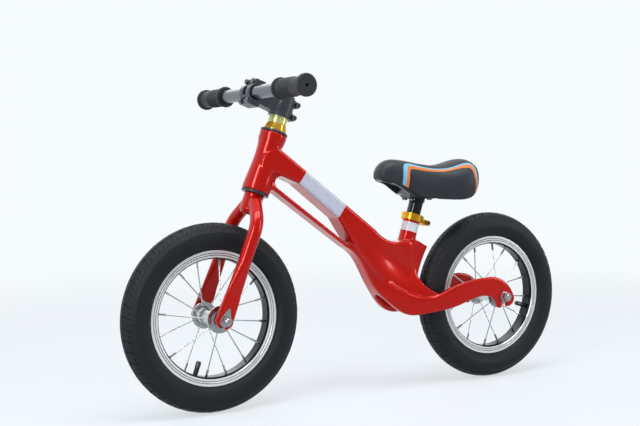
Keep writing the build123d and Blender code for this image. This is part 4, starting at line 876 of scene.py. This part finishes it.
# %% Inflate the saddle
SADDLE_VOXEL = 1.8 * MM
UNDERSIDE = -0.25
PRESSURE, CLOTH_FRAMES = 45.0, 12
LARGEST_MOVE = 1.0 * MM
saddle = merged_copy("saddle_cushion", "padded_saddle")
apply_modifier(saddle, "REMESH", mode="VOXEL", voxel_size=SADDLE_VOXEL)
apply_modifier(saddle, "SMOOTH", factor=RELAX, iterations=3)
rest_shape = [vertex.co.copy() for vertex in saddle.data.vertices]
hem = saddle.vertex_groups.new(name="hem")
hem.add([vertex.index for vertex in saddle.data.vertices if vertex.normal.z < UNDERSIDE], 1.0, "REPLACE")


def inflate(piece, pressure, frames):
    """Swells a closed piece with Cloth for a few frames and applies what it gives."""
    select_only(piece)
    cloth = piece.modifiers.new("cloth", "CLOTH")
    cloth.settings.use_pressure = True
    cloth.settings.uniform_pressure_force = pressure
    cloth.settings.effector_weights.gravity = 0.0
    cloth.settings.vertex_group_mass = "hem"
    for frame_number in range(1, frames + 1):
        bpy.context.scene.frame_set(frame_number)
    bpy.ops.object.modifier_apply(modifier=cloth.name)
    bpy.context.scene.frame_set(1)


def cap_movement(piece, start, limit):
    """Holds every point within a distance of where it started."""
    for vertex, home in zip(piece.data.vertices, start):
        move = vertex.co - home
        if move.length > limit:
            vertex.co = home + move.normalized() * limit


inflate(saddle, PRESSURE, CLOTH_FRAMES)
cap_movement(saddle, rest_shape, LARGEST_MOVE)
print("saddle has", len(saddle.data.polygons), "faces")

# %% [markdown]
# Two coloured bands run up behind the nose, along the upper side and down at the tail, on both sides.
# They are cut from three nested outlines seen from the side: dark panel, orange band, blue band.
# Painting them face by face would leave steps as wide as a face.
# Here each point of the mesh keeps its distance to every outline, so the bands stay crisp between points.

# %% Outlines of the bands, in millimetres along and above the ground
PANEL_EDGE = [(-86, 325), (-87, 366.4), (-89.4, 382.4), (-93.8, 385.2), (-108.9, 383.2), (-130, 380.1),
              (-151.5, 378.9), (-167.9, 380.7), (-178.8, 383.3), (-193.5, 386), (-204.5, 386.3),
              (-208.8, 383.2), (-210.3, 374.4), (-212.5, 362.8), (-215.7, 349.2), (-219, 325)]
ORANGE_EDGE = [(-80.5, 325), (-80.9, 366.4), (-84.8, 389.1), (-94.9, 390.5), (-111.8, 386.8),
               (-133.1, 383.3), (-154.5, 382.2), (-170.9, 383.9), (-181.9, 386.5), (-198.3, 390.9),
               (-208.9, 391.6), (-213.7, 388.6), (-214.5, 378.3), (-216.9, 362.7), (-219.5, 349), (-222, 325)]
BLUE_EDGE = [(-75, 325), (-74.9, 372.2), (-78.7, 394.1), (-95.6, 395), (-115.5, 389.7), (-136.3, 385.6),
             (-157.1, 384.5), (-173.3, 386.3), (-185.2, 389.7), (-202.8, 394.6), (-214.4, 395.3), (-218, 391),
             (-219.2, 384.1), (-219.6, 368.5), (-222.5, 349), (-225, 325)]
CORNER_ROUNDS = 2


def eased(outline, rounds):
    """Cuts every corner of a closed outline again and again, so that it runs in smooth curves."""
    for _ in range(rounds):
        cut = []
        for (ax, az), (bx, bz) in zip(outline, outline[1:] + outline[:1]):
            cut.append((ax * 0.75 + bx * 0.25, az * 0.75 + bz * 0.25))
            cut.append((ax * 0.25 + bx * 0.75, az * 0.25 + bz * 0.75))
        outline = cut
    return outline


def distance_inside(x, z, outline):
    """Distance from a point to a closed outline, positive inside it."""
    nearest = 1e9
    inside = False
    for (ax, az), (bx, bz) in zip(outline, outline[1:] + outline[:1]):
        run_x, run_z = bx - ax, bz - az
        share = ((x - ax) * run_x + (z - az) * run_z) / (run_x * run_x + run_z * run_z)
        share = min(max(share, 0.0), 1.0)
        nearest = min(nearest, hypot(x - ax - share * run_x, z - az - share * run_z))
        if (az > z) != (bz > z) and x < ax + (z - az) / run_z * run_x:
            inside = not inside
    return nearest if inside else -nearest


def mark_distance(piece, name, outline):
    """Stores on every point its distance in millimetres inside an outline seen from the side."""
    smooth_outline = eased(outline, CORNER_ROUNDS)
    marks = piece.data.attributes.new(name, "FLOAT", "POINT")
    values = [distance_inside(v.co.x / MM, v.co.z / MM, smooth_outline) for v in piece.data.vertices]
    marks.data.foreach_set("value", values)
    return values


in_panel = mark_distance(saddle, "in_panel", PANEL_EDGE)
in_orange = mark_distance(saddle, "in_orange", ORANGE_EDGE)
in_blue = mark_distance(saddle, "in_blue", BLUE_EDGE)
inside_each = [sum(value > 0 for value in marks) for marks in (in_panel, in_orange, in_blue)]
print("points inside the panel, orange and blue outlines:", inside_each)

# %% [markdown]
# The cover is sewn along the outer and the inner outline, and the thread pulls the foam in there.
# The distances are at hand already, so each point sinks by how near it is to one of those two lines.

# %% Press in the seams
SEAM_DEPTH = 0.9 * MM
SEAM_WIDTH = 1.5
normals = [vertex.normal.copy() for vertex in saddle.data.vertices]
for vertex, normal, panel_at, blue_at in zip(saddle.data.vertices, normals, in_panel, in_blue):
    pull = exp(-(panel_at / SEAM_WIDTH) ** 2) + exp(-(blue_at / SEAM_WIDTH) ** 2)
    vertex.co -= normal * SEAM_DEPTH * min(pull, 1.0)
select_only(saddle)
bpy.ops.object.shade_smooth()
print("seams are", SEAM_DEPTH / MM, "mm deep")

# %% Saddle cover
# Coated fabric has a soft wide sheen broken up by pebbles, and the printed bands keep the same touch.
# Real pebbles are about half a millimetre across. They are drawn at 1.6 mm, to show close up.
BANDS = (("in_blue", "#6fbfe4"), ("in_orange", "#df7d33"), ("in_panel", "#2b2f35"))
BAND_EDGE = 0.25
FAR_INSIDE = 500.0
cover, tree, shader, place = start_finish("coated_saddle_fabric", "#2c3036", roughness=0.46,
                                          sheen_weight=0.05, specular_ior_level=0.35)
tones = vary_colour(tree, shader, place, 30.0, "#2a2e33", "#31363b")
for mark, hex_colour in BANDS:
    at = add(tree, "ShaderNodeAttribute", attribute_name=mark)
    tones = lay_film(tree, tones, band_mask(tree, at.outputs["Fac"], 0.0, FAR_INSIDE, BAND_EDGE), hex_colour)
tree.links.new(tones.outputs["Result"], shader.inputs["Base Color"])
pebbles = add(tree, "ShaderNodeTexVoronoi", {"Vector": place, "Scale": per_mm(1.6)})
bump = add(tree, "ShaderNodeBump",
           {"Height": pebbles.outputs["Distance"], "Strength": 0.3, "Distance": 0.25 * MM})
tree.links.new(bump.outputs["Normal"], shader.inputs["Normal"])
stand_in(saddle, "seat", "saddle_cushion", cover)
